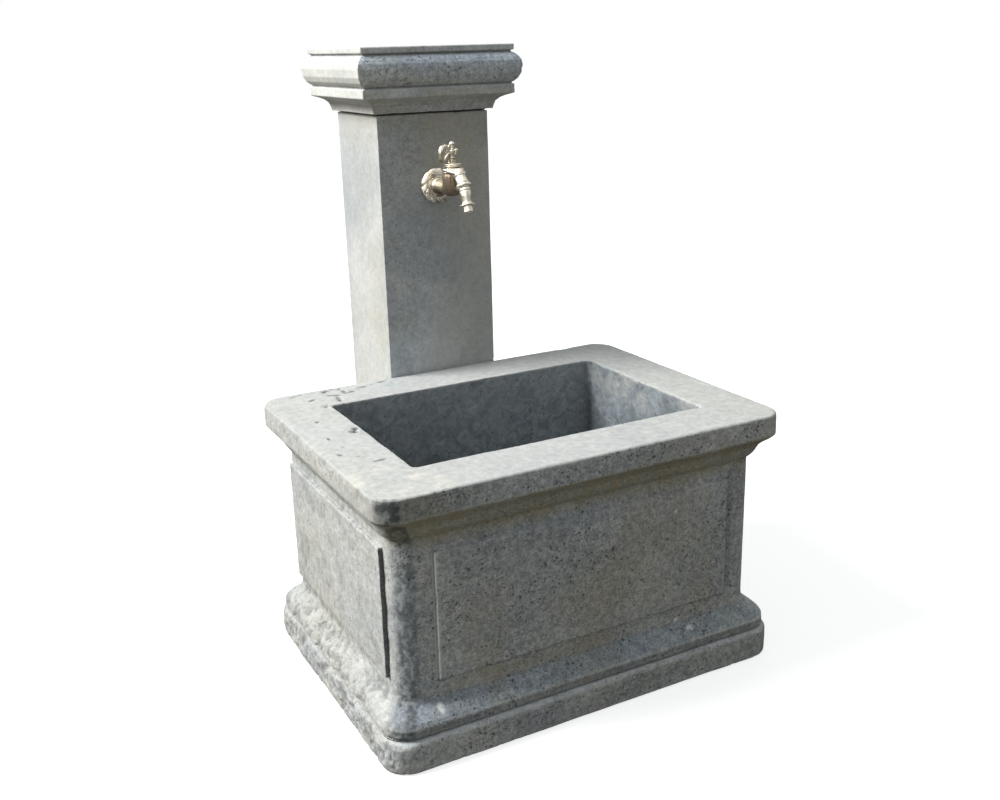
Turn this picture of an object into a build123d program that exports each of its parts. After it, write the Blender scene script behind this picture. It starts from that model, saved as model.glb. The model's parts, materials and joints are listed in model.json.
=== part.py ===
"""Free-standing stone drinking fountain: moulded basin on a plinth slab, square column
with a capital, and an ornamental brass screw-down tap. Millimetres, +Z up, front towards -Y.
Origin: on the ground, midway across the width, near the middle of the overall depth."""

from build123d import *
import math
import os

os.makedirs("parts", exist_ok=True)

# ---------------------------------------------------------------- driving dimensions
BASIN_W, BASIN_D = 800.0, 600.0  # outline of rim and plinth slab
BASIN_Y = -133.0  # middle of the basin, and axis of the drain
RIM_TOP = 490.0
RIM_WALL = 109.0  # flat width of the rim
PLINTH_H = 60.0
BED = 3.0  # mortar joints
BOWL_FLOOR = 140.0

FACE = BASIN_Y + BASIN_D / 2  # front face of the column, and back of the rim
COL_W, COL_D, COL_H = 240.0, 210.0, 1012.0
COL_Y = FACE + COL_D / 2
CAP_BOTTOM = COL_H + BED
CHASE_W, CHASE_DEPTH, CHASE_TOP = 60.0, 70.0, 930.0
CHASE_Y = FACE + COL_D - CHASE_DEPTH  # front wall of the pipe chase

TAP_Z = 872.0  # height of the tap inlet
TAP_BORE_R = 14.0  # hole through the column for the inlet nipple
VALVE_Y = FACE - 77.0  # upright axis of the valve
HANDLE_ANGLE = 8.0  # turn of the key

PIPE_STANDOFF = 23.0
PIPE_Y = CHASE_Y + PIPE_STANDOFF  # supply pipe in the chase
PIPE_R, PIPE_WALL = 7.5, 1.0
PIPE_END = 80.0  # mouth of the connector at the foot of the pipe
PIPE_BOTTOM = PIPE_END - 18.0

DOWEL_R, DOWEL_HOLE_R, DOWEL_L = 6.0, 6.2, 118.0
CAP_DOWEL_SPOTS = ((-70, 0), (70, 0))  # (x, y) about the column's middle
TIE_Z = 468.0  # height of the dowels between rim and column
TIE_SPOTS = ((-80, 0), (80, 0))
TIE_HOLE_DEPTH = 60.0  # in the rim and in the column

# screws in the chase wall: x, and distance below the tap inlet
CLIP_HEIGHTS = (250, 600)
CLIP_SCREW_X = 20.0
ELBOW_SCREW_SPOTS = ((-21, 0), (21, 0))
CLIP_SCREW_SPOTS = tuple((CLIP_SCREW_X, TAP_Z - height) for height in CLIP_HEIGHTS)
PLUG_SPOTS = ELBOW_SCREW_SPOTS + CLIP_SCREW_SPOTS
PLUG_R, PLUG_HOLE_R = 4.0, 4.02
PLUG_HOLE_DEPTH = 41.0


# ---------------------------------------------------------------- planes and axes
def level(z, y):
    """Horizontal plane at height z with its origin at (0, y)."""
    return Plane(origin=(0, y, z), x_dir=(1, 0, 0), z_dir=(0, 0, 1))


def upright(y):
    """Plane through an upright axis at (0, y): local x is X, local y is Z."""
    return Plane(origin=(0, y, 0), x_dir=(1, 0, 0), z_dir=(0, -1, 0))


def upright_axis(y):
    return Axis(origin=(0, y, 0), direction=(0, 0, 1))


def facing(y, z=TAP_Z):
    """Plane square to Y: local x is X, local y is -Z, and extrusions run towards +Y."""
    return Plane(origin=(0, y, z), x_dir=(1, 0, 0), z_dir=(0, 1, 0))


# plane holding the horizontal inlet axis: local x runs along Y from the column face
INLET_PLANE = Plane(origin=(0, FACE, TAP_Z), x_dir=(0, 1, 0), z_dir=(1, 0, 0))
INLET_AXIS = Axis(origin=(0, FACE, TAP_Z), direction=(0, 1, 0))

# straight end of the spout: start point and direction in the YZ plane
END_TILT = math.radians(20)
END = (0, FACE - 134.6, 850.0)
END_DIR = (0, -math.sin(END_TILT), -math.cos(END_TILT))
# local x is radial, local y runs down the spout
END_PLANE = Plane(
    origin=END, x_dir=(1, 0, 0), z_dir=(0, math.cos(END_TILT), -math.sin(END_TILT))
)
END_AXIS = Axis(origin=END, direction=END_DIR)


# ---------------------------------------------------------------- shared builders
# A sketch joins only a part opened in the same function, so each builds a whole piece.
def save(builder, name):
    builder.part.label = name
    export_step(builder.part, f"parts/{name}.step")


def turned(name, plane, axis, profile):
    """Piece revolved from a closed profile of points on the plane."""
    with BuildPart() as piece:
        with BuildSketch(plane):
            with BuildLine():
                Polyline(*profile, close=True)
            make_face()
        revolve(axis=axis)
    save(piece, name)


def ring(name, plane, outer_r, inner_r, thickness):
    with BuildPart() as piece:
        with BuildSketch(plane):
            Circle(outer_r)
            Circle(inner_r, mode=Mode.SUBTRACT)
        extrude(amount=thickness)
    save(piece, name)


def hex_nut(name, plane, corner_r, hole_r, thickness):
    with BuildPart() as piece:
        with BuildSketch(plane):
            RegularPolygon(corner_r, 6)
            Circle(hole_r, mode=Mode.SUBTRACT)
        extrude(amount=thickness)
    save(piece, name)


def chase_screws(name, spots, head_r, head_h, shank_r, shank_l):
    """Screws through a 4 mm flange on the chase wall, shanks towards -Y."""
    under_head = facing(CHASE_Y + FLANGE_T)
    with BuildPart() as piece:
        with BuildSketch(under_head):
            with Locations(*spots):
                Circle(head_r)
        extrude(amount=head_h)
        with BuildSketch(under_head):
            with Locations(*spots):
                Circle(shank_r)
        extrude(amount=-shank_l)
    save(piece, name)


# ================================================================= stone work
WASTE_OPENING_R = 45.0  # through slab and mortar

# plinth slab: rounded corners, worn top arris, opening for the waste
PLINTH_CORNER_R = 46.0
# height, inset from the full outline
PLINTH_SECTIONS = [(0, 5), (2, 1.5), (5, 0), (52, 0), (56, 2), (58.5, 5), (60, 9)]
with BuildPart() as base_plinth:
    for z, inset in PLINTH_SECTIONS:
        with BuildSketch(level(z, BASIN_Y)):
            RectangleRounded(BASIN_W - 2 * inset, BASIN_D - 2 * inset, PLINTH_CORNER_R)
    loft(ruled=True)
    with BuildSketch(level(0, BASIN_Y)):
        Circle(WASTE_OPENING_R)
    extrude(amount=PLINTH_H, mode=Mode.SUBTRACT)
save(base_plinth, "base_plinth")

# mortar bed between slab and basin, set back from the edge
BED_INSET, BED_CORNER_R = 12.0, 42.0
with BuildPart() as plinth_mortar_bed:
    with BuildSketch(level(PLINTH_H, BASIN_Y)):
        RectangleRounded(BASIN_W - 2 * BED_INSET, BASIN_D - 2 * BED_INSET, BED_CORNER_R)
        Circle(WASTE_OPENING_R, mode=Mode.SUBTRACT)
    extrude(amount=BED)
save(plinth_mortar_bed, "plinth_mortar_bed")

# basin, bottom to top: height, inset from the rim edge on the ends, inset on the front
# and back, corner radius
BASIN_SECTIONS = [
    (63, 4.5, 4.5, 47),
    (79, 5, 5, 47),
    (86, 9, 9.5, 46),
    (92, 15, 18, 45),
    (99, 23, 29, 44),
    (105, 30, 35, 43),
    (112, 34.5, 36, 42),
    (119, 36, 36, 42),
    (402, 36, 36, 42),
    (406, 31, 31, 42),
    (411, 27, 27, 42),
    (420, 23.5, 23.5, 42),
    (429, 20, 20, 42),
    (437, 13, 13, 42),
    (444, 4.5, 4.5, 42),
    (446.5, 2.5, 2.5, 42),
    (449, 0, 0, 43),
    (487, 0, 0, 43),
    (490, 3, 3, 42),
]
BODY_INSET = 36.0  # basin body behind the rim edge
PANEL_ROOT = 12.0  # depth of each raised panel inside the body
FRONT_PANEL_W, FRONT_PANEL_H, FRONT_PANEL_Z, FRONT_PANEL_PROUD = 592.0, 231.0, 256.5, 5.0
END_PANEL_W, END_PANEL_H, END_PANEL_Z, END_PANEL_PROUD = 444.0, 235.0, 262.5, 8.0
BOWL_W, BOWL_D = BASIN_W - 2 * RIM_WALL, BASIN_D - 2 * RIM_WALL  # at the rim
BOWL_TAPER = 14.0  # narrower by this at the floor
BOWL_CORNER_R = 12.0
DRAIN_SEAT_Z = BOWL_FLOOR - 4
DRAIN_SEAT_R, DRAIN_HOLE_R = 43.0, 24.0
with BuildPart() as basin:
    for z, end_inset, front_inset, corner_r in BASIN_SECTIONS:
        with BuildSketch(level(z, BASIN_Y)):
            RectangleRounded(BASIN_W - 2 * end_inset, BASIN_D - 2 * front_inset, corner_r)
    loft(ruled=True)
    # raised panels on the front and both ends
    with BuildSketch(facing(BASIN_Y - BASIN_D / 2 + BODY_INSET + PANEL_ROOT, FRONT_PANEL_Z)):
        Rectangle(FRONT_PANEL_W, FRONT_PANEL_H)
    extrude(amount=-(PANEL_ROOT + FRONT_PANEL_PROUD))
    for side in (-1, 1):
        end_plane = Plane(
            origin=(side * (BASIN_W / 2 - BODY_INSET - PANEL_ROOT), BASIN_Y, END_PANEL_Z),
            x_dir=(0, 1, 0),
            z_dir=(side, 0, 0),
        )
        with BuildSketch(end_plane):
            Rectangle(END_PANEL_W, END_PANEL_H)
        extrude(amount=PANEL_ROOT + END_PANEL_PROUD)
    # bowl with a slight draft
    with BuildSketch(level(BOWL_FLOOR, BASIN_Y)):
        RectangleRounded(BOWL_W - BOWL_TAPER, BOWL_D - BOWL_TAPER, BOWL_CORNER_R)
    with BuildSketch(level(RIM_TOP, BASIN_Y)):
        RectangleRounded(BOWL_W, BOWL_D, BOWL_CORNER_R)
    loft(mode=Mode.SUBTRACT)
    # seat for the drain flange and the hole through the floor
    with BuildSketch(level(DRAIN_SEAT_Z, BASIN_Y)):
        Circle(DRAIN_SEAT_R)
    extrude(amount=6, mode=Mode.SUBTRACT)
    with BuildSketch(level(PLINTH_H, BASIN_Y)):
        Circle(DRAIN_HOLE_R)
    extrude(amount=90, mode=Mode.SUBTRACT)
    # holes for the dowels that tie the rim to the column
    with BuildSketch(facing(FACE, TIE_Z)):
        with Locations(*TIE_SPOTS):
            Circle(DOWEL_HOLE_R)
    extrude(amount=-TIE_HOLE_DEPTH, mode=Mode.SUBTRACT)
save(basin, "basin")

# column shaft with the pipe chase up its back
CHASE_ARCH_Z = CHASE_TOP - CHASE_W / 2  # centre of the round top
CHASE_OVERRUN = 10.0  # cut carried below the ground
with BuildPart() as column:
    with BuildSketch(level(0, COL_Y)):
        Rectangle(COL_W, COL_D)
    extrude(amount=COL_H)
    back = Plane(origin=(0, FACE + COL_D, 0), x_dir=(-1, 0, 0), z_dir=(0, 1, 0))
    with BuildSketch(back):
        with Locations((0, (CHASE_ARCH_Z - CHASE_OVERRUN) / 2)):
            Rectangle(CHASE_W, CHASE_ARCH_Z + CHASE_OVERRUN)
        with Locations((0, CHASE_ARCH_Z)):
            Circle(CHASE_W / 2)
    extrude(amount=-CHASE_DEPTH, mode=Mode.SUBTRACT)
    # inlet bore
    with BuildSketch(facing(FACE)):
        Circle(TAP_BORE_R)
    extrude(amount=COL_D - CHASE_DEPTH + 1, mode=Mode.SUBTRACT)
    # tie dowels
    with BuildSketch(facing(FACE, TIE_Z)):
        with Locations(*TIE_SPOTS):
            Circle(DOWEL_HOLE_R)
    extrude(amount=TIE_HOLE_DEPTH, mode=Mode.SUBTRACT)
    # dowels up into the capital
    with BuildSketch(level(COL_H, COL_Y)):
        with Locations(*CAP_DOWEL_SPOTS):
            Circle(DOWEL_HOLE_R)
    extrude(amount=-58, mode=Mode.SUBTRACT)
    # plug holes for the elbow screws and the clip screws, into the chase's front wall
    with BuildSketch(facing(CHASE_Y)):
        with Locations(*PLUG_SPOTS):
            Circle(PLUG_HOLE_R)
    extrude(amount=-PLUG_HOLE_DEPTH, mode=Mode.SUBTRACT)
save(column, "column")

with BuildPart() as capital_mortar_bed:
    with BuildSketch(level(COL_H, COL_Y)):
        Rectangle(COL_W - 6, COL_D - 6)
        with Locations(*CAP_DOWEL_SPOTS):
            Circle(DOWEL_HOLE_R, mode=Mode.SUBTRACT)
    extrude(amount=BED)
save(capital_mortar_bed, "capital_mortar_bed")

# capital with square mitred corners: height, overhang past the shaft's faces
CAPITAL_SECTIONS = [
    (1015, 9), (1018, 9), (1022, 10), (1030, 13), (1036, 19),
    (1040, 27), (1044.5, 40), (1045.5, 41), (1061.5, 41), (1063, 37),
    (1065, 37), (1067.5, 41), (1073, 46.5), (1083, 51.5), (1098, 53.5),
    (1107, 52), (1114, 48), (1119.5, 42.5), (1122, 38), (1123.5, 36),
    (1125, 36), (1126, 39.5), (1127.5, 41), (1136, 41), (1137.5, 39.5),
]
with BuildPart() as capital:
    for z, overhang in CAPITAL_SECTIONS:
        with BuildSketch(level(z, COL_Y)):
            Rectangle(COL_W + 2 * overhang, COL_D + 2 * overhang)
    loft(ruled=True)
    with BuildSketch(level(CAP_BOTTOM, COL_Y)):
        with Locations(*CAP_DOWEL_SPOTS):
            Circle(DOWEL_HOLE_R)
    extrude(amount=61, mode=Mode.SUBTRACT)
save(capital, "capital")

# stainless dowels
CAP_DOWEL_DEPTH = 57.0  # length below the top of the column
with BuildPart() as capital_dowels:
    with BuildSketch(level(COL_H - CAP_DOWEL_DEPTH, COL_Y)):
        with Locations(*CAP_DOWEL_SPOTS):
            Circle(DOWEL_R)
    extrude(amount=DOWEL_L)
save(capital_dowels, "capital_dowels")

with BuildPart() as tie_dowels:
    with BuildSketch(facing(FACE - DOWEL_L / 2, TIE_Z)):
        with Locations(*TIE_SPOTS):
            Circle(DOWEL_R)
    extrude(amount=DOWEL_L)
save(tie_dowels, "tie_dowels")


# ================================================================= tap
# Heights on the valve axis
SEAT_Z = 885.0  # rim of the valve seat
CHAMBER_BOTTOM = 882.0  # floor of the channel round the seat
SHOULDER_Z = 906.0  # underside of the barrel's shoulder
BARREL_TOP = 913.0
SEAL_T = 1.5  # bonnet and inlet washers
BONNET_Z = BARREL_TOP + SEAL_T  # underside of the bonnet's flange
SQUARE_BOTTOM, SQUARE_TOP = 929.5, 947.0  # square on the spindle
# Along the inlet
INLET_SHOULDER_Y = FACE - 9.0  # back of the shoulder behind the rosette's dish
INLET_THREAD_L = 27.0
WATERWAY_R = 6.0
# Mating radii
STEM_R, STEM_HOLE_R = 4.0, 4.06
GLAND_R = 7.0
JUMPER_PIN_R, JUMPER_PIN_HOLE_R = 2.0, 2.05  # below the jumper's disc
NOZZLE_THREAD_R, NOZZLE_BORE_R = 7.5, 7.56

# wall rosette: dished flange with a ring of leaf tips round its edge
# distance along Y from the column face, radius
ROSETTE_PROFILE = [
    (0, 10.6), (0, 33.5), (-2.5, 34.5), (-5, 33), (-8.5, 28),
    (-11, 22), (-11.5, 19), (-8.95, 15.6), (-8.95, 10.6),
]
LEAF_COUNT, LEAF_R, LEAF_RING_R, LEAF_T = 16, 3.9, 31.6, 3.2
with BuildPart() as rosette:
    with BuildSketch(INLET_PLANE):
        with BuildLine():
            Polyline(*ROSETTE_PROFILE, close=True)
        make_face()
    revolve(axis=INLET_AXIS)
    with BuildSketch(facing(FACE - LEAF_T)):
        with PolarLocations(LEAF_RING_R, LEAF_COUNT):
            Circle(LEAF_R)
    extrude(amount=LEAF_T)
save(rosette, "rosette")

# outside of the spout: distance in front of the column face, height, radius, then the
# forward and downward components of the section's normal
SPOUT_SECTIONS = [
    (103.5, 905.5, 10.2, 0.45, 0.89),
    (108.5, 899.0, 10.6, 0.5, 0.87),
    (113.5, 892.0, 11.0, 0.6, 0.8),
    (119.5, 884.8, 12.2, 0.62, 0.78),
    (121.6, 882.2, 14.9, 0.6, 0.8),
    (123.8, 879.3, 15.5, 0.58, 0.81),
    (125.2, 877.0, 14.2, 0.55, 0.835),
    (126.2, 875.0, 11.6, 0.5, 0.866),
    (130.4, 864.5, 11.2, 0.38, 0.925),
    (134.6, 850.0, 10.0, math.sin(END_TILT), math.cos(END_TILT)),
]
# radius, height
BARREL_PROFILE = [
    (0, 858), (7, 858.6), (12.5, 862), (16.5, 869), (19, 878), (20, 888),
    (19.4, 898), (19.8, 903), (21.5, SHOULDER_Z), (21.5, 911), (19, BARREL_TOP),
    (0, BARREL_TOP),
]
OUTLET_START = (0, FACE - 86, 893)  # waterway leaves the valve chamber
OUTLET_R = 5.3
with BuildPart() as tap_body:
    # outlet branch and the down-turned spout
    for distance, z, radius, forward, down in SPOUT_SECTIONS:
        section_plane = Plane(
            origin=(0, FACE - distance, z), x_dir=(1, 0, 0), z_dir=(0, -forward, -down)
        )
        with BuildSketch(section_plane):
            Circle(radius)
    loft(ruled=True)
    with BuildSketch(facing(FACE - 104.5, 899)):
        Circle(9.8)
    extrude(amount=27)
    # upright valve barrel with its shoulder
    with BuildSketch(upright(VALVE_Y)):
        with BuildLine():
            Polyline(*BARREL_PROFILE, close=True)
        make_face()
    revolve(axis=upright_axis(VALVE_Y))
    # moulded lip that carries the shoulder forward over the spout
    with BuildSketch(Plane.XY.offset(SHOULDER_Z)):
        with Locations((0, VALVE_Y)):
            Circle(19.5)
        with Locations((0, FACE - 100)):
            Circle(14.6)
        make_hull()
    extrude(amount=5)
    # horizontal inlet, its shoulder, and the threaded end behind the rosette
    with BuildSketch(facing(VALVE_Y)):
        Circle(12.5)
    extrude(amount=INLET_SHOULDER_Y - VALVE_Y)
    with BuildSketch(facing(INLET_SHOULDER_Y - 4)):
        Circle(15)
    extrude(amount=4)
    with BuildSketch(facing(INLET_SHOULDER_Y)):
        Circle(10.45)
    extrude(amount=INLET_THREAD_L)
    # waterway in, up through the seat, and the valve chamber round the seat
    with BuildSketch(facing(VALVE_Y - WATERWAY_R)):
        Circle(WATERWAY_R)
    extrude(amount=120, mode=Mode.SUBTRACT)
    with BuildSketch(level(TAP_Z, VALVE_Y)):
        Circle(WATERWAY_R)
    extrude(amount=20, mode=Mode.SUBTRACT)
    with BuildSketch(level(CHAMBER_BOTTOM, VALVE_Y)):
        Circle(12.05)
        Circle(8, mode=Mode.SUBTRACT)
    extrude(amount=40, mode=Mode.SUBTRACT)
    with BuildSketch(level(SEAT_Z, VALVE_Y)):
        Circle(9)
    extrude(amount=40, mode=Mode.SUBTRACT)
    # threaded stub that carries the nozzle
    with BuildSketch(Plane(origin=END, x_dir=(1, 0, 0), z_dir=END_DIR)):
        Circle(NOZZLE_THREAD_R)
    extrude(amount=12)
    # waterway out through the spout
    with BuildLine() as outlet_path:
        Spline(
            OUTLET_START,
            (0, FACE - 101, 892.5),
            (0, FACE - 113, 888),
            (0, FACE - 124, 877.5),
            (0, FACE - 130.6, 863.5),
            END,
            (0, END[1] + 13 * END_DIR[1], END[2] + 13 * END_DIR[2]),
            tangents=((0, -1, 0), END_DIR),
        )
    with BuildSketch(Plane(origin=OUTLET_START, x_dir=(1, 0, 0), z_dir=(0, -1, 0))):
        Circle(OUTLET_R)
    sweep(path=outlet_path.wires()[0], mode=Mode.SUBTRACT)
save(tap_body, "tap_body")

# Profiles at the spout's end: radius, distance down the spout from END
# flared ring held between the spout's end and the nozzle
SPOUT_RING_PROFILE = [
    (NOZZLE_BORE_R, 0.02), (10.3, 0.02), (11.6, 0.8), (15.2, 2.6),
    (16.3, 3.4), (16.3, 4.4), (14.5, 5), (NOZZLE_BORE_R, 5),
]
turned("spout_ring", END_PLANE, END_AXIS, SPOUT_RING_PROFILE)

NOZZLE_PROFILE = [
    (NOZZLE_BORE_R, 5.02), (10.2, 5.02), (10.2, 6.2), (9.5, 7),
    (9.5, 17), (6, 17), (6, 13.5), (NOZZLE_BORE_R, 13.5),
]
turned("spout_nozzle", END_PLANE, END_AXIS, NOZZLE_PROFILE)

SPOUT_SEAL_PROFILE = [(5.5, 12.02), (7.45, 12.02), (7.45, 13.48), (5.5, 13.48)]
turned("spout_seal", END_PLANE, END_AXIS, SPOUT_SEAL_PROFILE)

# head: bonnet screwed into the barrel, its washer, the gland and its packing
# radius, height
BONNET_PROFILE = [
    (6.06, 899), (11.95, 899), (11.95, BONNET_Z), (16.2, BONNET_Z), (16.2, 916.6),
    (17.2, 917.6), (17.2, 920.6), (16, 921.8), (10, 922.5), (7.06, 922.5),
    (7.06, BONNET_Z), (STEM_HOLE_R, BONNET_Z), (STEM_HOLE_R, 912.5), (6.06, 912.5),
]
turned("bonnet", upright(VALVE_Y), upright_axis(VALVE_Y), BONNET_PROFILE)

ring("bonnet_seal", level(BARREL_TOP, VALVE_Y), outer_r=14.2, inner_r=12.1, thickness=SEAL_T)
ring("gland_packing", level(914.55, VALVE_Y), outer_r=GLAND_R, inner_r=4.05, thickness=3.9)

GLAND_BOTTOM, GLAND_SLEEVE_H = 918.5, 4.1
with BuildPart() as gland_nut:
    with BuildSketch(level(GLAND_BOTTOM, VALVE_Y)):
        Circle(GLAND_R)
    extrude(amount=GLAND_SLEEVE_H)
    with BuildSketch(level(GLAND_BOTTOM + GLAND_SLEEVE_H, VALVE_Y)):
        RegularPolygon(8.6, 6)
    extrude(amount=4.4)
    with BuildSketch(level(GLAND_BOTTOM - 0.5, VALVE_Y)):
        Circle(STEM_HOLE_R)
    extrude(amount=10, mode=Mode.SUBTRACT)
save(gland_nut, "gland_nut")

# spindle: foot and lead screw, stem, square for the key, thread for the ball nut
# radius, height
SPINDLE_PROFILE = [
    (3.05, 891.05), (6, 891.05), (6, 907), (STEM_R, 908.2),
    (STEM_R, SQUARE_BOTTOM), (0, SQUARE_BOTTOM), (0, 900), (3.05, 900),
]
SQUARE_W, SQUARE_HOLE_W = 5.6, 5.7
with BuildPart() as spindle:
    with BuildSketch(upright(VALVE_Y)):
        with BuildLine():
            Polyline(*SPINDLE_PROFILE, close=True)
        make_face()
    revolve(axis=upright_axis(VALVE_Y))
    with BuildSketch(level(SQUARE_BOTTOM, VALVE_Y)):
        Rectangle(SQUARE_W, SQUARE_W, rotation=HANDLE_ANGLE)
    extrude(amount=SQUARE_TOP - SQUARE_BOTTOM)
    with BuildSketch(level(SQUARE_TOP, VALVE_Y)):
        Circle(2.4)
    extrude(amount=7)
save(spindle, "spindle")

# valve at the foot of the spindle: jumper, rubber washer and the nut that clamps it
# radius, height
JUMPER_PROFILE = [
    (0, 881.5), (JUMPER_PIN_R, 881.5), (JUMPER_PIN_R, 888.05), (9, 888.05),
    (9, 891), (3, 891), (3, 899.5), (0, 899.5),
]
turned("jumper", upright(VALVE_Y), upright_axis(VALVE_Y), JUMPER_PROFILE)

WASHER_Z = SEAT_Z + 0.05
WASHER_NUT_H = 2.75
ring(
    "valve_washer", level(WASHER_Z, VALVE_Y),
    outer_r=8.8, inner_r=JUMPER_PIN_HOLE_R, thickness=3,
)
hex_nut(
    "washer_nut", level(WASHER_Z - WASHER_NUT_H, VALVE_Y),
    corner_r=4.2, hole_r=JUMPER_PIN_HOLE_R, thickness=WASHER_NUT_H,
)

# key: a hub with one large scrolled wing, a small ball arm opposite it
# local x runs out along the wing, towards -X; local y is Z
KEY_COS = math.cos(math.radians(HANDLE_ANGLE))
KEY_SIN = math.sin(math.radians(HANDLE_ANGLE))
KEY_PLANE = Plane(
    origin=(0, VALVE_Y, 0), x_dir=(-KEY_COS, -KEY_SIN, 0), z_dir=(-KEY_SIN, KEY_COS, 0)
)
# wing outline: distance from the valve axis, height
WING_OUTLINE = [
    (2, 936), (9, 935.5), (13.5, 931), (17.4, 925.4), (21.2, 923.4),
    (25, 927), (27, 935), (27, 946), (24, 954), (18, 957.8),
    (11.5, 956.6), (8.5, 951.5), (2, 946),
]
ARM_OUTLINE = [(-2, 936), (-8, 940), (-9, 946), (-2, 942)]
WING_T, ARM_T = 8.6, 4.0
with BuildPart() as handle:
    with BuildSketch(level(929.6, VALVE_Y)):
        Circle(6.4)
    extrude(amount=17.2)
    with BuildSketch(KEY_PLANE.offset(-WING_T / 2)):
        with BuildLine():
            Spline(*WING_OUTLINE)
            Line(WING_OUTLINE[-1], WING_OUTLINE[0])
        make_face()
        with Locations((15.6, 944)):
            Circle(3.2, mode=Mode.SUBTRACT)
    extrude(amount=WING_T)
    with BuildSketch(KEY_PLANE.offset(-ARM_T / 2)):
        with BuildLine():
            Polyline(*ARM_OUTLINE, close=True)
        make_face()
    extrude(amount=ARM_T)
    ball_at = KEY_PLANE.from_local_coords((-8.8, 944.4, 0))
    with Locations(ball_at):
        Sphere(5)
    # square hole for the spindle
    with BuildSketch(level(SQUARE_BOTTOM - 0.5, VALVE_Y)):
        Rectangle(SQUARE_HOLE_W, SQUARE_HOLE_W, rotation=HANDLE_ANGLE)
    extrude(amount=20, mode=Mode.SUBTRACT)
save(handle, "handle")

# ball nut on top of the key
# radius, height
BALL_NUT_PROFILE = [(0, 947.05), (4.4, 947.05), (4.4, 949), (2.8, 951), (2.8, 953), (0, 953)]
with BuildPart() as handle_cap:
    with BuildSketch(upright(VALVE_Y)):
        with BuildLine():
            Polyline(*BALL_NUT_PROFILE, close=True)
        make_face()
    revolve(axis=upright_axis(VALVE_Y))
    with Locations((0, VALVE_Y, 957)):
        Sphere(6.1)
    with BuildSketch(level(SQUARE_TOP - 1, VALVE_Y)):
        Circle(2.45)
    extrude(amount=8.5, mode=Mode.SUBTRACT)
save(handle_cap, "handle_cap")


# ================================================================= supply
FLANGE_T = 4.0  # elbow flange and clip back plates
FITTING_BORE_R = 6.5
PIPE_SOCKET_R = 7.56  # bore that takes the pipe
FITTING_NECK_R = 10.0  # end of a fitting inside its compression nut
ELBOW_END = TAP_Z - 34.0  # mouth of the elbow's lower leg

# extension nipple through the column, with the socket the tap screws into
# distance along Y from the column face, radius
NIPPLE_PROFILE = [
    (1, 10.5), (1, 13.5), (24, 13.5), (25, 10.4), (152.8, 10.4),
    (152.8, 7.5), (19.6, 7.5), (19.6, 10.5),
]
turned("inlet_nipple", INLET_PLANE, INLET_AXIS, NIPPLE_PROFILE)

ring("inlet_seal", facing(FACE + 18.05), outer_r=10.3, inner_r=7, thickness=SEAL_T)

# flanged elbow screwed to the chase wall, pipe leg downwards
with BuildPart() as wall_elbow:
    with BuildSketch(facing(CHASE_Y)):
        RectangleRounded(57, 30, 9)
    extrude(amount=FLANGE_T)
    with BuildSketch(facing(CHASE_Y)):
        Circle(14.5)
    extrude(amount=PIPE_STANDOFF)
    with BuildSketch(level(TAP_Z, PIPE_Y)):
        Circle(11.4)
    extrude(amount=-24)
    with Locations((0, PIPE_Y, TAP_Z)):
        Sphere(14)
    with BuildSketch(level(ELBOW_END, PIPE_Y)):
        Circle(FITTING_NECK_R)
    extrude(amount=12)
    # socket for the nipple, waterway through both legs, socket for the pipe
    with BuildSketch(facing(CHASE_Y)):
        Circle(10.5)
    extrude(amount=13, mode=Mode.SUBTRACT)
    with BuildSketch(facing(CHASE_Y)):
        Circle(FITTING_BORE_R)
    extrude(amount=PIPE_STANDOFF, mode=Mode.SUBTRACT)
    with BuildSketch(level(TAP_Z, PIPE_Y)):
        Circle(FITTING_BORE_R)
    extrude(amount=-40, mode=Mode.SUBTRACT)
    with BuildSketch(level(ELBOW_END - 2, PIPE_Y)):
        Circle(PIPE_SOCKET_R)
    extrude(amount=20, mode=Mode.SUBTRACT)
    # screw holes
    with BuildSketch(facing(CHASE_Y)):
        with Locations(*ELBOW_SCREW_SPOTS):
            Circle(2.6)
    extrude(amount=5, mode=Mode.SUBTRACT)
save(wall_elbow, "wall_elbow")

chase_screws(
    "elbow_screws", ELBOW_SCREW_SPOTS, head_r=4.3, head_h=2.6, shank_r=2.25, shank_l=42
)

# plugs in the stone for the elbow screws and the clip screws
with BuildPart() as wall_plugs:
    with BuildSketch(facing(CHASE_Y - 0.2)):
        with Locations(*PLUG_SPOTS):
            Circle(PLUG_R)
            Circle(2.3, mode=Mode.SUBTRACT)
    extrude(amount=-39.8)
save(wall_plugs, "wall_plugs")

PIPE_TOP = TAP_Z - 16.4
ring(
    "supply_pipe", level(PIPE_BOTTOM, PIPE_Y),
    outer_r=PIPE_R, inner_r=PIPE_R - PIPE_WALL, thickness=PIPE_TOP - PIPE_BOTTOM,
)

# straight connector at the foot of the pipe, with the thread the mains joins
CONNECTOR_BOTTOM = PIPE_END - 40.0
NECK_L = 13.0
with BuildPart() as inlet_connector:
    with BuildSketch(level(CONNECTOR_BOTTOM, PIPE_Y)):
        Circle(10.45)
    extrude(amount=16)
    with BuildSketch(level(PIPE_END - 25, PIPE_Y)):
        RegularPolygon(13.5, 6)
    extrude(amount=12)
    with BuildSketch(level(PIPE_END - NECK_L, PIPE_Y)):
        Circle(FITTING_NECK_R)
    extrude(amount=NECK_L)
    with BuildSketch(level(CONNECTOR_BOTTOM - 1, PIPE_Y)):
        Circle(FITTING_BORE_R)
    extrude(amount=45, mode=Mode.SUBTRACT)
    with BuildSketch(level(PIPE_BOTTOM - 0.4, PIPE_Y)):
        Circle(PIPE_SOCKET_R)
    extrude(amount=30, mode=Mode.SUBTRACT)
save(inlet_connector, "inlet_connector")

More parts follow.
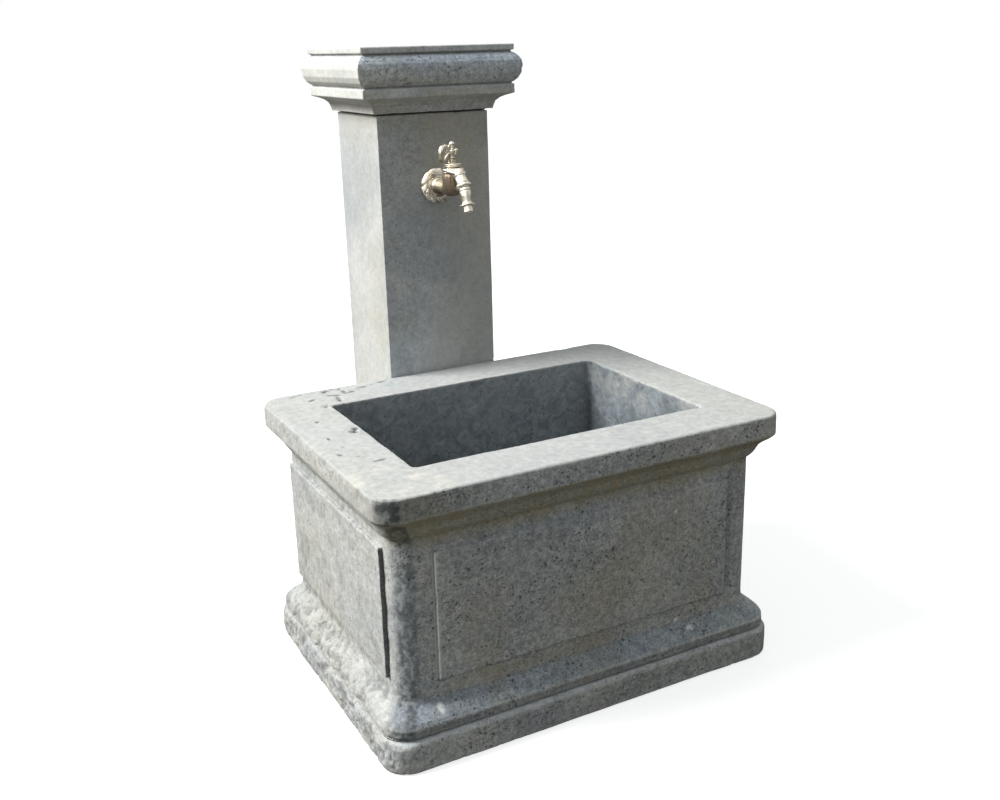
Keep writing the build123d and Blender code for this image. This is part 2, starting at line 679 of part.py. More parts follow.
# compression joints at the elbow and at the foot: a nut over each, an olive inside
# height of the fitting's mouth, and the way it faces along Z
JOINTS = ((ELBOW_END, -1), (PIPE_END, 1))
NUT_H = 14.0
with BuildPart() as compression_nuts:
    for mouth, way in JOINTS:
        with BuildSketch(level(mouth - NUT_H / 2, PIPE_Y)):
            RegularPolygon(13.8, 6)
            Circle(PIPE_SOCKET_R, mode=Mode.SUBTRACT)
        extrude(amount=NUT_H)
        with BuildSketch(level(mouth + 3 * way, PIPE_Y)):
            Circle(10.06)
        extrude(amount=-11 * way, mode=Mode.SUBTRACT)
save(compression_nuts, "compression_nuts")

# radius, distance out from the fitting's mouth
OLIVE_PROFILE = [(7.53, 2.9), (8.4, 2.9), (9.3, 1.6), (9.3, 1.2), (8.4, 0.05), (7.53, 0.05)]
with BuildPart() as compression_olives:
    for mouth, way in JOINTS:
        olive_points = [(radius, mouth + out * way) for radius, out in OLIVE_PROFILE]
        with BuildSketch(upright(PIPE_Y)):
            with BuildLine():
                Polyline(*olive_points, close=True)
            make_face()
        revolve(axis=upright_axis(PIPE_Y))
save(compression_olives, "compression_olives")

# pipe clips: back plate with one screw ear, and a ring round the pipe open at the back
CLIP_H = 16.0
with BuildPart() as pipe_clips:
    for clip_z in CLIP_HEIGHTS:
        with BuildSketch(level(clip_z - CLIP_H / 2, CHASE_Y)):
            with Locations((7, FLANGE_T / 2)):
                Rectangle(38, FLANGE_T)
            with Locations((0, 10)):
                Rectangle(13, 14)
            with Locations((0, PIPE_STANDOFF)):
                Circle(10.2)
            with Locations((0, PIPE_STANDOFF)):
                Circle(7.6, mode=Mode.SUBTRACT)
            with Locations((0, PIPE_STANDOFF + 8)):
                Rectangle(10, 12, mode=Mode.SUBTRACT)
        extrude(amount=CLIP_H)
        with BuildSketch(facing(CHASE_Y - 1, clip_z)):
            with Locations((CLIP_SCREW_X, 0)):
                Circle(2.3)
        extrude(amount=8, mode=Mode.SUBTRACT)
save(pipe_clips, "pipe_clips")

chase_screws(
    "clip_screws", CLIP_SCREW_SPOTS, head_r=3.8, head_h=2.4, shank_r=2.2, shank_l=38
)


# ================================================================= drain
DRAIN_BORE_R = 17.5
TAIL_R, TAIL_SOCKET_R = 20.9, 20.98  # threaded tail, and the threads round it
BASIN_BOTTOM = PLINTH_H + BED
LOWER_GASKET_T, LOCKNUT_T = 2.4, 10.0
LOCKNUT_TOP = BASIN_BOTTOM - LOWER_GASKET_T

ring(
    "drain_gasket_upper", level(DRAIN_SEAT_Z, BASIN_Y), outer_r=40, inner_r=21.5, thickness=1.2
)

# drain body: flange in the bowl, threaded tail through the floor, bridge for the screw
# radius, height
DRAIN_PROFILE = [
    (DRAIN_BORE_R, 30), (TAIL_R, 30), (TAIL_R, 137.2), (40, 137.2), (41, 137.9),
    (41, 138.8), (36, 139.6), (34.5, 138.8), (20, 138.6), (DRAIN_BORE_R, 136),
]
BRIDGE_L, BRIDGE_W, BRIDGE_Z, BRIDGE_H = 36.4, 5.0, 126.0, 6.0
with BuildPart() as drain_body:
    with BuildSketch(upright(BASIN_Y)):
        with BuildLine():
            Polyline(*DRAIN_PROFILE, close=True)
        make_face()
    revolve(axis=upright_axis(BASIN_Y))
    with BuildSketch(level(BRIDGE_Z, BASIN_Y)):
        Rectangle(BRIDGE_L, BRIDGE_W)
        Rectangle(BRIDGE_W, BRIDGE_L)
        Circle(5.5)
        Circle(2.55, mode=Mode.SUBTRACT)
    extrude(amount=BRIDGE_H)
save(drain_body, "drain_body")

STRAINER_Z, STRAINER_T = 138.85, 1.6
# rings of holes: ring radius, count, hole radius
STRAINER_HOLES = ((8.2, 6, 2.2), (14.5, 10, 2.4))
with BuildPart() as drain_strainer:
    with BuildSketch(level(STRAINER_Z, BASIN_Y)):
        Circle(34)
        Circle(2.7, mode=Mode.SUBTRACT)
        for ring_r, count, hole_r in STRAINER_HOLES:
            with PolarLocations(ring_r, count):
                Circle(hole_r, mode=Mode.SUBTRACT)
    extrude(amount=STRAINER_T)
save(drain_strainer, "drain_strainer")

STRAINER_TOP = STRAINER_Z + STRAINER_T
with BuildPart() as strainer_screw:
    with BuildSketch(level(STRAINER_TOP, BASIN_Y)):
        Circle(4.8)
    extrude(amount=2)
    with BuildSketch(level(STRAINER_TOP, BASIN_Y)):
        Circle(2.5)
    extrude(amount=-16)
    # driver slot
    with BuildSketch(level(141.6, BASIN_Y)):
        Rectangle(12, 1.1)
    extrude(amount=2, mode=Mode.SUBTRACT)
save(strainer_screw, "strainer_screw")

ring(
    "drain_gasket_lower", level(LOCKNUT_TOP, BASIN_Y),
    outer_r=34, inner_r=21.3, thickness=LOWER_GASKET_T,
)
hex_nut(
    "drain_locknut", level(LOCKNUT_TOP - LOCKNUT_T, BASIN_Y),
    corner_r=33, hole_r=TAIL_SOCKET_R, thickness=LOCKNUT_T,
)

# radius, height
WASTE_PROFILE = [
    (DRAIN_BORE_R, 4), (25, 4), (25, 48),
    (TAIL_SOCKET_R, 48), (TAIL_SOCKET_R, 29.8), (DRAIN_BORE_R, 29.8),
]
turned("waste_pipe", upright(BASIN_Y), upright_axis(BASIN_Y), WASTE_PROFILE)
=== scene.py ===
import json
import math

import bmesh
import bpy
import numpy as np
from mathutils import Matrix, Vector

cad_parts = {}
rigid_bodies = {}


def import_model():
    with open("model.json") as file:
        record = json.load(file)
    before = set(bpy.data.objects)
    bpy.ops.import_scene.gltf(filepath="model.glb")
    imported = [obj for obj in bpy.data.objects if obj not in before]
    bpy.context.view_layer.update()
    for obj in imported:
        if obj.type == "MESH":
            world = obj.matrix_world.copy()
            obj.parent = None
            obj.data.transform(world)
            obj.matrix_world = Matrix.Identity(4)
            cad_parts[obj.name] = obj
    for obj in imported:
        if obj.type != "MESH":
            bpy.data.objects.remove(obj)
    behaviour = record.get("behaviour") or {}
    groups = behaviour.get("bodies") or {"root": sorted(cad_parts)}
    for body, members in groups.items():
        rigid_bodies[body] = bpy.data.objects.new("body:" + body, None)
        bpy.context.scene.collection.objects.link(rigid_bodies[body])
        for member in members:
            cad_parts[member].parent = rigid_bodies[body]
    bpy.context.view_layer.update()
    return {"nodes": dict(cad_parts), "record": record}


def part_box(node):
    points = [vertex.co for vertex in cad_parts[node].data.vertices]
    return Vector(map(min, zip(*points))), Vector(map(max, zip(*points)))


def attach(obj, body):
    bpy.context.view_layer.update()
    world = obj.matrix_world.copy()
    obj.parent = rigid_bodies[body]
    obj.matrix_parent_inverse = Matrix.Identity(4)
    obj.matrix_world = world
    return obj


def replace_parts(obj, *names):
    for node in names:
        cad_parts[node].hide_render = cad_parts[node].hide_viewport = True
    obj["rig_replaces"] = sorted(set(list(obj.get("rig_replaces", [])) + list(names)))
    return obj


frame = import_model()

MM = 0.001


# ====================================================================== noise
def _hash(x, y, z, seed):
    with np.errstate(over="ignore"):
        h = (
            x.astype(np.uint32) * np.uint32(0x8DA6B343)
            ^ y.astype(np.uint32) * np.uint32(0xD8163841)
            ^ z.astype(np.uint32) * np.uint32(0xCB1AB31F)
            ^ np.uint32((seed * 0x9E3779B1) & 0xFFFFFFFF)
        )
        h ^= h >> np.uint32(15)
        h *= np.uint32(0x85EBCA6B)
        h ^= h >> np.uint32(13)
        h *= np.uint32(0xC2B2AE35)
        h ^= h >> np.uint32(16)
    return h.astype(np.float32) / np.float32(4294967295.0)


def vnoise(p, size, seed):
    """Smooth noise in -1..1. size is the wavelength in metres, or one per axis."""
    q = p / np.asarray(size, np.float32)
    i = np.floor(q).astype(np.int64)
    f = (q - i).astype(np.float32)
    u = f * f * f * (f * (f * 6 - 15) + 10)
    out = np.zeros(len(p), np.float32)
    for dx in (0, 1):
        wx = u[:, 0] if dx else 1 - u[:, 0]
        for dy in (0, 1):
            wy = u[:, 1] if dy else 1 - u[:, 1]
            for dz in (0, 1):
                wz = u[:, 2] if dz else 1 - u[:, 2]
                out += wx * wy * wz * _hash(i[:, 0] + dx, i[:, 1] + dy, i[:, 2] + dz, seed)
    return out * 2 - 1


def fbm(p, size, seed, octaves=3, gain=0.5):
    out, amp, total = np.zeros(len(p), np.float32), 1.0, 0.0
    size = np.asarray(size, np.float32)
    for o in range(octaves):
        out += amp * vnoise(p, size / (2**o), seed + 17 * o)
        total += amp
        amp *= gain
    return out / total


def pit_field(p, cell, seed, share, r_lo, r_hi):
    """0..1, 1 at the bottom of round pits scattered one per cell, in a share of the cells."""
    q = p / cell
    i = np.floor(q).astype(np.int64)
    out = np.zeros(len(p), np.float32)
    for dx in (-1, 0, 1):
        for dy in (-1, 0, 1):
            for dz in (-1, 0, 1):
                c = i + np.array((dx, dy, dz))
                a = (c[:, 0], c[:, 1], c[:, 2])
                there = _hash(*a, seed) < share
                if not there.any():
                    continue
                k = np.nonzero(there)[0]
                b = tuple(x[k] for x in a)
                at = np.stack(
                    [c[k, n] + _hash(*b, seed + 1 + n) for n in range(3)], 1
                ) * cell
                r = r_lo + (r_hi - r_lo) * _hash(*b, seed + 5) ** 2
                d = np.linalg.norm(p[k] - at, axis=1) / r
                v = np.clip(1 - d * d, 0, 1).astype(np.float32)
                out[k] = np.maximum(out[k], v)
    return out


def step(x, lo, hi):
    t = np.clip((x - lo) / (hi - lo), 0, 1)
    return t * t * (3 - 2 * t)


# ====================================================================== mesh helpers
def link(o):
    bpy.context.scene.collection.objects.link(o)
    return o


def mesh_object(name, verts, faces, smooth=True):
    me = bpy.data.meshes.new(name)
    me.from_pydata([tuple(v) for v in verts], [], faces)
    me.validate()
    me.update()
    if smooth:
        me.polygons.foreach_set("use_smooth", [True] * len(me.polygons))
    return link(bpy.data.objects.new(name, me))


def points(me):
    co = np.empty(len(me.vertices) * 3, np.float32)
    me.vertices.foreach_get("co", co)
    return co.reshape(-1, 3)


def set_points(me, co):
    me.vertices.foreach_set("co", co.astype(np.float32).ravel())
    me.update()


def normals(me):
    n = np.empty(len(me.vertices) * 3, np.float32)
    me.vertex_normals.foreach_get("vector", n)
    return n.reshape(-1, 3)


def edges_of(me):
    e = np.empty(len(me.edges) * 2, np.int32)
    me.edges.foreach_get("vertices", e)
    return e.reshape(-1, 2)


def smoothed(co, e, times, lam=0.6, weight=None):
    n = len(co)
    a, b = e[:, 0], e[:, 1]
    count = np.bincount(a, minlength=n) + np.bincount(b, minlength=n)
    count = np.maximum(count, 1)[:, None]
    out = co.astype(np.float64)
    for _ in range(times):
        mean = np.stack(
            [
                np.bincount(a, out[b, k], n) + np.bincount(b, out[a, k], n)
                for k in range(out.shape[1])
            ],
            1,
        ) / count
        move = lam * (mean - out)
        out += move if weight is None else move * weight[:, None]
    return out.astype(np.float32)


def paint(me, name, values):
    att = me.attributes.get(name) or me.attributes.new(name, "FLOAT", "POINT")
    att.data.foreach_set("value", np.asarray(values, np.float32))


def merged_copy(node, name):
    """A welded copy of a CAD node's mesh in a new object."""
    me = frame["nodes"][node].data.copy()
    me.name = name
    bm = bmesh.new()
    bm.from_mesh(me)
    bmesh.ops.remove_doubles(bm, verts=bm.verts, dist=2e-6)
    bmesh.ops.recalc_face_normals(bm, faces=bm.faces)
    bm.to_mesh(me)
    bm.free()
    me.materials.clear()
    for att in [a.name for a in me.attributes if a.name.startswith("custom_normal")]:
        me.attributes.remove(me.attributes[att])
    o = link(bpy.data.objects.new(name, me))
    return o


def apply_modifiers(o):
    dg = bpy.context.evaluated_depsgraph_get()
    me = bpy.data.meshes.new_from_object(o.evaluated_get(dg), depsgraph=dg)
    me.name = o.name
    o.modifiers.clear()
    old = o.data
    o.data = me
    bpy.data.meshes.remove(old)
    return o


def remesh(o, voxel):
    m = o.modifiers.new("r", "REMESH")
    m.mode = "VOXEL"
    m.voxel_size = voxel
    m.adaptivity = 0
    m.use_smooth_shade = True
    apply_modifiers(o)
    o.data.polygons.foreach_set("use_smooth", [True] * len(o.data.polygons))
    return o


def remesh_sharp(o, voxel):
    """Even quads of about one voxel that keep every arris and corner of the CAD solid."""
    m = o.modifiers.new("r", "REMESH")
    m.mode = "SHARP"
    m.octree_depth = 9
    m.scale = min(0.99, max(o.dimensions) / voxel / 512)
    m.sharpness = 1.0
    m.use_remove_disconnected = False
    m.use_smooth_shade = True
    apply_modifiers(o)
    o.data.polygons.foreach_set("use_smooth", [True] * len(o.data.polygons))
    return o


def joined(name, objs):
    """One object from several, by plain joining of their meshes."""
    verts, faces, at = [], [], 0
    for o in objs:
        co = points(o.data) @ np.array(o.matrix_world.to_3x3(), np.float32).T + np.array(
            o.matrix_world.translation, np.float32
        )
        verts += [tuple(v) for v in co]
        faces += [tuple(i + at for i in p.vertices) for p in o.data.polygons]
        at += len(co)
    for o in objs:
        me = o.data
        bpy.data.objects.remove(o)
        bpy.data.meshes.remove(me)
    return mesh_object(name, verts, faces)


def frame_of(origin, axis, up=(0, 0, 1)):
    """Origin and three unit vectors: radial a, radial b, and along the axis."""
    w = Vector(axis).normalized()
    u = Vector(up)
    if abs(u.dot(w)) > 0.95:
        u = Vector((1, 0, 0))
    a = (u - w * u.dot(w)).normalized()
    b = w.cross(a)
    return np.array(origin, float), np.array(a), np.array(b), np.array(w)


def lathe(name, prof, n, origin, axis, up=(0, 0, 1), loop=False, shape=None):
    """Turns a profile of (radius, height), in mm, about an axis. A closed loop gives a ring
    body; otherwise both ends are capped with a centre point. shape(theta, r, h, k) may
    return changed (r, h) for profile point k."""
    o, a, b, w = frame_of(origin, axis, up)
    th = np.arange(n) / n * 2 * math.pi
    verts, faces = [], []
    for k, (r, h) in enumerate(prof):
        rr, hh = np.full(n, float(r)), np.full(n, float(h or 0.0))
        if shape:
            rr, hh = shape(th, rr, hh, k)
        p = (
            o
            + MM * rr[:, None] * (np.cos(th)[:, None] * a + np.sin(th)[:, None] * b)
            + MM * hh[:, None] * w
        )
        verts.append(p)
    verts = np.concatenate(verts)
    m = len(prof)
    rows = m if loop else m - 1
    for k in range(rows):
        k2 = (k + 1) % m
        for i in range(n):
            j = (i + 1) % n
            faces.append((k * n + i, k * n + j, k2 * n + j, k2 * n + i))
    verts = list(verts)
    if not loop:
        for k, flip in ((0, True), (m - 1, False)):
            c = len(verts)
            verts.append(o + MM * (prof[k][1] or 0.0) * w)
            for i in range(n):
                j = (i + 1) % n
                faces.append((k * n + j, k * n + i, c) if flip else (k * n + i, k * n + j, c))
    ob = mesh_object(name, verts, faces)
    bm = bmesh.new()
    bm.from_mesh(ob.data)
    bmesh.ops.recalc_face_normals(bm, faces=bm.faces)
    bm.to_mesh(ob.data)
    bm.free()
    return ob


def spline_points(pts, n):
    """n points evenly spaced on a Catmull-Rom curve through pts (arrays of any width)."""
    pts = np.asarray(pts, float)
    ext = np.vstack([2 * pts[0] - pts[1], pts, 2 * pts[-1] - pts[-2]])
    out = []
    for i in range(1, len(ext) - 2):
        p0, p1, p2, p3 = ext[i - 1], ext[i], ext[i + 1], ext[i + 2]
        for t in np.linspace(0, 1, 24, endpoint=False):
            out.append(
                0.5
                * (
                    2 * p1
                    + (p2 - p0) * t
                    + (2 * p0 - 5 * p1 + 4 * p2 - p3) * t * t
                    + (3 * p1 - p0 - 3 * p2 + p3) * t**3
                )
            )
    out.append(pts[-1])
    out = np.array(out)
    d = np.r_[0, np.cumsum(np.linalg.norm(np.diff(out[:, :3], axis=0), axis=1))]
    s = np.linspace(0, d[-1], n)
    return np.stack([np.interp(s, d, out[:, k]) for k in range(out.shape[1])], 1)


def tube(name, path, radii, n=32, side=(1, 0, 0), flat=1.0, inner=None, shape=None):
    """Sweeps a round (or flattened) section along path (mm). side is a direction square to
    the path's plane, flat scales the section along it, inner gives it a bore."""
    path = np.asarray(path, float)
    radii = np.asarray(radii, float)
    t = np.gradient(path, axis=0)
    t /= np.linalg.norm(t, axis=1)[:, None]
    s = np.array(side, float)
    m = len(path)
    th = np.arange(n) / n * 2 * math.pi
    verts, faces = [], []

    def ring(k, r):
        b = np.cross(t[k], s)
        b /= np.linalg.norm(b)
        rr = np.full(n, float(r))
        if shape:
            rr = shape(th, rr, k / (m - 1))
        return path[k] + rr[:, None] * (
            np.cos(th)[:, None] * s * flat + np.sin(th)[:, None] * b
        )

    rings = [ring(k, radii[k]) for k in range(m)]
    if inner is not None:
        shape_was, shape = shape, None
        rings += [ring(k, inner) for k in range(m - 1, -1, -1)]
        shape = shape_was
    verts = list(np.concatenate(rings))
    rows = len(rings)
    for k in range(rows if inner is not None else rows - 1):
        k2 = (k + 1) % rows
        for i in range(n):
            j = (i + 1) % n
            faces.append((k * n + i, k * n + j, k2 * n + j, k2 * n + i))
    if inner is None:
        for k in (0, rows - 1):
            c = len(verts)
            verts.append(path[k])
            for i in range(n):
                faces.append((k * n + i, k * n + (i + 1) % n, c))
    ob = mesh_object(name, np.array(verts) * MM, faces)
    bm = bmesh.new()
    bm.from_mesh(ob.data)
    bmesh.ops.recalc_face_normals(bm, faces=bm.faces)
    bm.to_mesh(ob.data)
    bm.free()
    return ob


def ball(name, at, r, n=32, squash=1.0, axis=(0, 0, 1)):
    prof = [
        (max(r * math.sin(a), 1e-3), -r * squash * math.cos(a))
        for a in np.linspace(0.02, math.pi - 0.02, n // 2)
    ]
    return lathe(name, prof, n, np.array(at) * MM, axis)


# ====================================================================== shader helpers
class Nodes:
    def __init__(self, name):
        self.mat = bpy.data.materials.new(name)
        self.mat.use_nodes = True
        self.t = self.mat.node_tree
        self.t.nodes.clear()
        self.out = self.new("ShaderNodeOutputMaterial")
        self.bsdf = self.new("ShaderNodeBsdfPrincipled")
        self.t.links.new(self.bsdf.outputs[0], self.out.inputs[0])
        self.coord = self.new("ShaderNodeTexCoord").outputs["Object"]

    def new(self, kind, **props):
        n = self.t.nodes.new(kind)
        for k, v in props.items():
            setattr(n, k, v)
        return n

    def put(self, socket, value):
        if isinstance(value, bpy.types.NodeSocket):
            self.t.links.new(value, socket)
        elif isinstance(value, (tuple, list)) and len(value) == 3 and socket.type == "RGBA":
            socket.default_value = (*value, 1)
        else:
            socket.default_value = value

    def scaled(self, scale, source=None, move=(0, 0, 0), turn=(0, 0, 0)):
        n = self.new("ShaderNodeMapping")
        self.put(n.inputs["Vector"], source or self.coord)
        n.inputs["Scale"].default_value = scale
        n.inputs["Location"].default_value = move
        n.inputs["Rotation"].default_value = turn
        return n.outputs[0]

    def noise(self, size, detail=4, rough=0.55, distort=0.0, vec=None, seed=0.0):
        """Noise in 0..1; size in metres per feature."""
        n = self.new("ShaderNodeTexNoise")
        n.noise_dimensions = "4D"
        self.put(n.inputs["Vector"], vec or self.coord)
        n.inputs["W"].default_value = seed
        n.inputs["Scale"].default_value = 1 / size
        n.inputs["Detail"].default_value = detail
        n.inputs["Roughness"].default_value = rough
        n.inputs["Distortion"].default_value = distort
        return n.outputs["Fac"]

    def cells(self, size, feature="F1", vec=None, out="Distance", random=1.0):
        n = self.new("ShaderNodeTexVoronoi")
        n.feature = feature
        self.put(n.inputs["Vector"], vec or self.coord)
        n.inputs["Scale"].default_value = 1 / size
        n.inputs["Randomness"].default_value = random
        return n.outputs[out]

    def remap(self, value, lo, hi, a=0.0, b=1.0):
        n = self.new("ShaderNodeMapRange")
        n.interpolation_type = "SMOOTHSTEP"
        self.put(n.inputs["Value"], value)
        self.put(n.inputs["From Min"], lo)
        self.put(n.inputs["From Max"], hi)
        self.put(n.inputs["To Min"], a)
        self.put(n.inputs["To Max"], b)
        return n.outputs[0]

    def math(self, op, a, b=0.0, clamp=False):
        n = self.new("ShaderNodeMath", operation=op, use_clamp=clamp)
        self.put(n.inputs[0], a)
        self.put(n.inputs[1], b)
        return n.outputs[0]

    def mix(self, fac, a, b, kind="MIX"):
        n = self.new("ShaderNodeMix", data_type="RGBA", blend_type=kind)
        n.clamp_factor = True
        self.put(n.inputs["Factor"], fac)
        self.put(n.inputs[6], a)
        self.put(n.inputs[7], b)
        return n.outputs[2]

    def attribute(self, name):
        n = self.new("ShaderNodeAttribute", attribute_name=name)
        return n.outputs["Fac"]

    def axis(self, which):
        n = self.new("ShaderNodeSeparateXYZ")
        self.put(n.inputs[0], self.coord)
        return n.outputs[which]

    def bump(self, height, distance, strength=1.0, under=None):
        n = self.new("ShaderNodeBump")
        self.put(n.inputs["Height"], height)
        n.inputs["Distance"].default_value = distance
        self.put(n.inputs["Strength"], strength)
        if under is not None:
            self.put(n.inputs["Normal"], under)
        return n.outputs[0]


def stone_material(name, seed, olive=0.5, blue=0.5, coarse=1.0, light=1.0):
    """Dark grey volcanic stone: cloudy blue-grey and olive-grey ground, packed with dark pores
    and pale crystals. Painted attributes say where it is rubbed, stained, bluish or dirty, and where painted shade,
    painted shadow and painted highlight lie."""
    n = Nodes(name)
    g = lambda c: tuple(x * light for x in c)
    cloud = n.noise(0.16, 5, 0.6, 0.4, seed=seed)
    cloud2 = n.noise(0.045, 5, 0.62, 0.8, seed=seed + 3)
    patch = n.noise(0.32, 3, 0.5, 0.3, seed=seed + 7)
    polish = n.attribute("polish")
    raw = n.math("SUBTRACT", 1.0, polish, clamp=True)
    ground = n.mix(n.remap(cloud, 0.35, 0.66), g((0.212, 0.219, 0.222)), g((0.300, 0.304, 0.298)))
    ground = n.mix(n.remap(cloud2, 0.40, 0.72, 0, 0.6), ground, g((0.250, 0.262, 0.272)))
    ground = n.mix(
        n.math("MULTIPLY", n.remap(patch, 0.48, 0.66), olive), ground, g((0.252, 0.245, 0.205))
    )
    ground = n.mix(
        n.math("MULTIPLY", n.remap(patch, 0.50, 0.34), blue), ground, g((0.200, 0.218, 0.236))
    )
    # grain: mid-size tonal speckle, dark pores, pale crystals
    speck = n.noise(0.0048 * coarse, 3, 0.72, 0.0, seed=seed + 11)
    mottle = n.noise(0.0125 * coarse, 4, 0.62, 0.4, seed=seed + 13)
    fine = n.mix(n.remap(speck, 0.30, 0.70), (0.60, 0.60, 0.61), (1.30, 1.30, 1.27))
    ground = n.mix(n.math("MULTIPLY", n.remap(raw, 0.0, 1.0, 0.16, 0.80), 1.0), ground, fine, "MULTIPLY")
    broad = n.mix(n.remap(mottle, 0.34, 0.66), (0.70, 0.71, 0.73), (1.26, 1.25, 1.22))
    ground = n.mix(n.remap(raw, 0.0, 1.0, 0.25, 0.75), ground, broad, "MULTIPLY")
    warp = n.new("ShaderNodeVectorMath", operation="ADD")
    jitter = n.new("ShaderNodeTexNoise")
    n.put(jitter.inputs["Vector"], n.coord)
    jitter.inputs["Scale"].default_value = 260
    jitter.inputs["Detail"].default_value = 2
    shift = n.new("ShaderNodeVectorMath", operation="SCALE")
    n.put(shift.inputs[0], jitter.outputs["Color"])
    shift.inputs["Scale"].default_value = 0.004
    n.put(warp.inputs[0], n.coord)
    n.put(warp.inputs[1], shift.outputs[0])
    warped = warp.outputs[0]
    where = n.noise(0.06, 3, 0.6, 0.2, seed=seed + 19)  # pores come in drifts
    big_r, small_r = n.remap(where, 0.32, 0.70, 0.09, 0.33), n.remap(where, 0.3, 0.7, 0.13, 0.37)
    pore_big = n.remap(n.cells(0.0118 * coarse, vec=warped), big_r, n.math("MULTIPLY", big_r, 0.45))
    pore_small = n.remap(n.cells(0.0056 * coarse, vec=warped), small_r, n.math("MULTIPLY", small_r, 0.45))
    pores = n.math("MAXIMUM", n.math("MULTIPLY", pore_big, 1.0), n.math("MULTIPLY", pore_small, 0.75))
    pores = n.math("MULTIPLY", pores, raw)
    flake = n.remap(n.cells(0.0092 * coarse, vec=n.scaled((1, 1, 1), warped, (3.1, 1.7, 5.3))), 0.17, 0.08)
    ground = n.mix(n.math("MULTIPLY", pores, 0.86), ground, g((0.050, 0.055, 0.062)))
    ground = n.mix(n.math("MULTIPLY", n.attribute("pit"), n.remap(raw, 0.0, 1.0, 0.30, 0.62)), ground, g((0.060, 0.064, 0.068)))
    ground = n.mix(n.math("MULTIPLY", flake, n.remap(raw, 0.0, 1.0, 0.14, 0.62)), ground, (0.72, 0.72, 0.69))
    # bowl: cloudy, blue-dark, with pale slanting tool scratches
    brush = n.noise(0.034, 6, 0.62, 1.9, seed=seed + 23)
    bowl = n.mix(n.remap(brush, 0.34, 0.68), (0.146, 0.166, 0.182), (0.270, 0.294, 0.308))
    slant = n.noise(0.0115, 4, 0.65, 0.9, vec=n.scaled((1, 1, 0.26), n.scaled((1, 1, 1), None, (0, 0, 0), (0.25, -0.95, 0.0))), seed=seed + 25)
    slant2 = n.noise(0.0105, 4, 0.65, 0.8, vec=n.scaled((0.25, 1, 1), n.scaled((1, 1, 1), None, (0, 0, 0), (0.3, 0.62, 0.2))), seed=seed + 26)
    scratch = n.math("MAXIMUM", n.remap(slant, 0.57, 0.70), n.remap(slant2, 0.60, 0.72))
    bowl = n.mix(n.math("MULTIPLY", scratch, 0.46), bowl, (0.50, 0.515, 0.515))
    bowl = n.mix(n.remap(speck, 0.45, 0.72, 0.0, 0.22), bowl, (0.40, 0.40, 0.385))
    bowl = n.mix(n.math("MULTIPLY", n.remap(n.cells(0.0118 * coarse, vec=warped), 0.24, 0.04), 0.7), bowl, (0.05, 0.055, 0.062))
    ground = n.mix(n.attribute("bowl"), ground, bowl)
    # lime bloom and dust on rubbed and up-turned stone, less where the column's shadow is painted; olive-brown water
    # staining, with painted shade under the rim; dirt and painted shade in corners and creases
    streak = n.noise(0.024, 4, 0.65, 0.5, vec=n.scaled((1.0, 1.0, 0.30)), seed=seed + 29)
    tint = n.mix(1.0, ground, (0.89, 0.975, 1.09), "MULTIPLY")
    ground = n.mix(n.attribute("blue"), ground, tint)
    # olive-brown stain, which under the rim also carries painted shade
    stain_and_shade = n.math("MULTIPLY", n.attribute("stain_and_shade"), n.remap(streak, 0.28, 0.60, 0.45, 1.0))
    brown = n.mix(n.remap(speck, 0.3, 0.7), g((0.158, 0.148, 0.108)), g((0.246, 0.231, 0.174)))
    ground = n.mix(stain_and_shade, ground, brown)
    ground = n.mix(n.math("MULTIPLY", n.attribute("rust"), n.remap(streak, 0.4, 0.7)), ground, g((0.255, 0.178, 0.105)))
    bloom = n.math("MULTIPLY", n.attribute("bloom"), n.remap(cloud2, 0.3, 0.7, 0.55, 1.0))
    dust = n.mix(n.remap(mottle, 0.3, 0.7), (0.375, 0.380, 0.368), (0.485, 0.490, 0.475))
    ground = n.mix(bloom, ground, dust)
    cream = n.mix(n.remap(mottle, 0.3, 0.7), (0.50, 0.485, 0.42), (0.63, 0.615, 0.545))
    ground = n.mix(n.math("MULTIPLY", n.attribute("cream"), n.remap(cloud2, 0.25, 0.65, 0.45, 1.0)), ground, cream)
    # paler rubbed arrises, and painted highlight on edges facing the light
    ground = n.mix(n.math("MULTIPLY", n.attribute("wear_and_highlight"), 0.6), ground, (0.52, 0.535, 0.53))
    # pale spots, and painted highlight lines on the front panel's edges
    ground = n.mix(n.attribute("pale"), ground, (0.84, 0.855, 0.84))
    # dirt, and painted shade in creases, corners, holes and recesses
    ground = n.mix(n.attribute("grime_and_shade"), ground, (0.052, 0.058, 0.058))
    n.put(n.bsdf.inputs["Base Color"], ground)
    rough = n.remap(speck, 0.25, 0.8, 0.93, 0.74)
    n.put(n.bsdf.inputs["Roughness"], rough)
    n.bsdf.inputs["Specular IOR Level"].default_value = 0.28
    grain = n.noise(0.0024, 4, 0.7, seed=seed + 31)
    tooth = n.noise(0.0080 * coarse, 3, 0.6, seed=seed + 37)
    low = n.bump(tooth, 0.0013, n.remap(raw, 0.0, 1.0, 0.14, 0.80))
    mid = n.bump(n.math("SUBTRACT", 1.0, pores), 0.0015, 0.9, low)
    n.put(n.bsdf.inputs["Normal"], n.bump(grain, 0.0004, n.remap(raw, 0.0, 1.0, 0.12, 0.60), mid))
    return n.mat


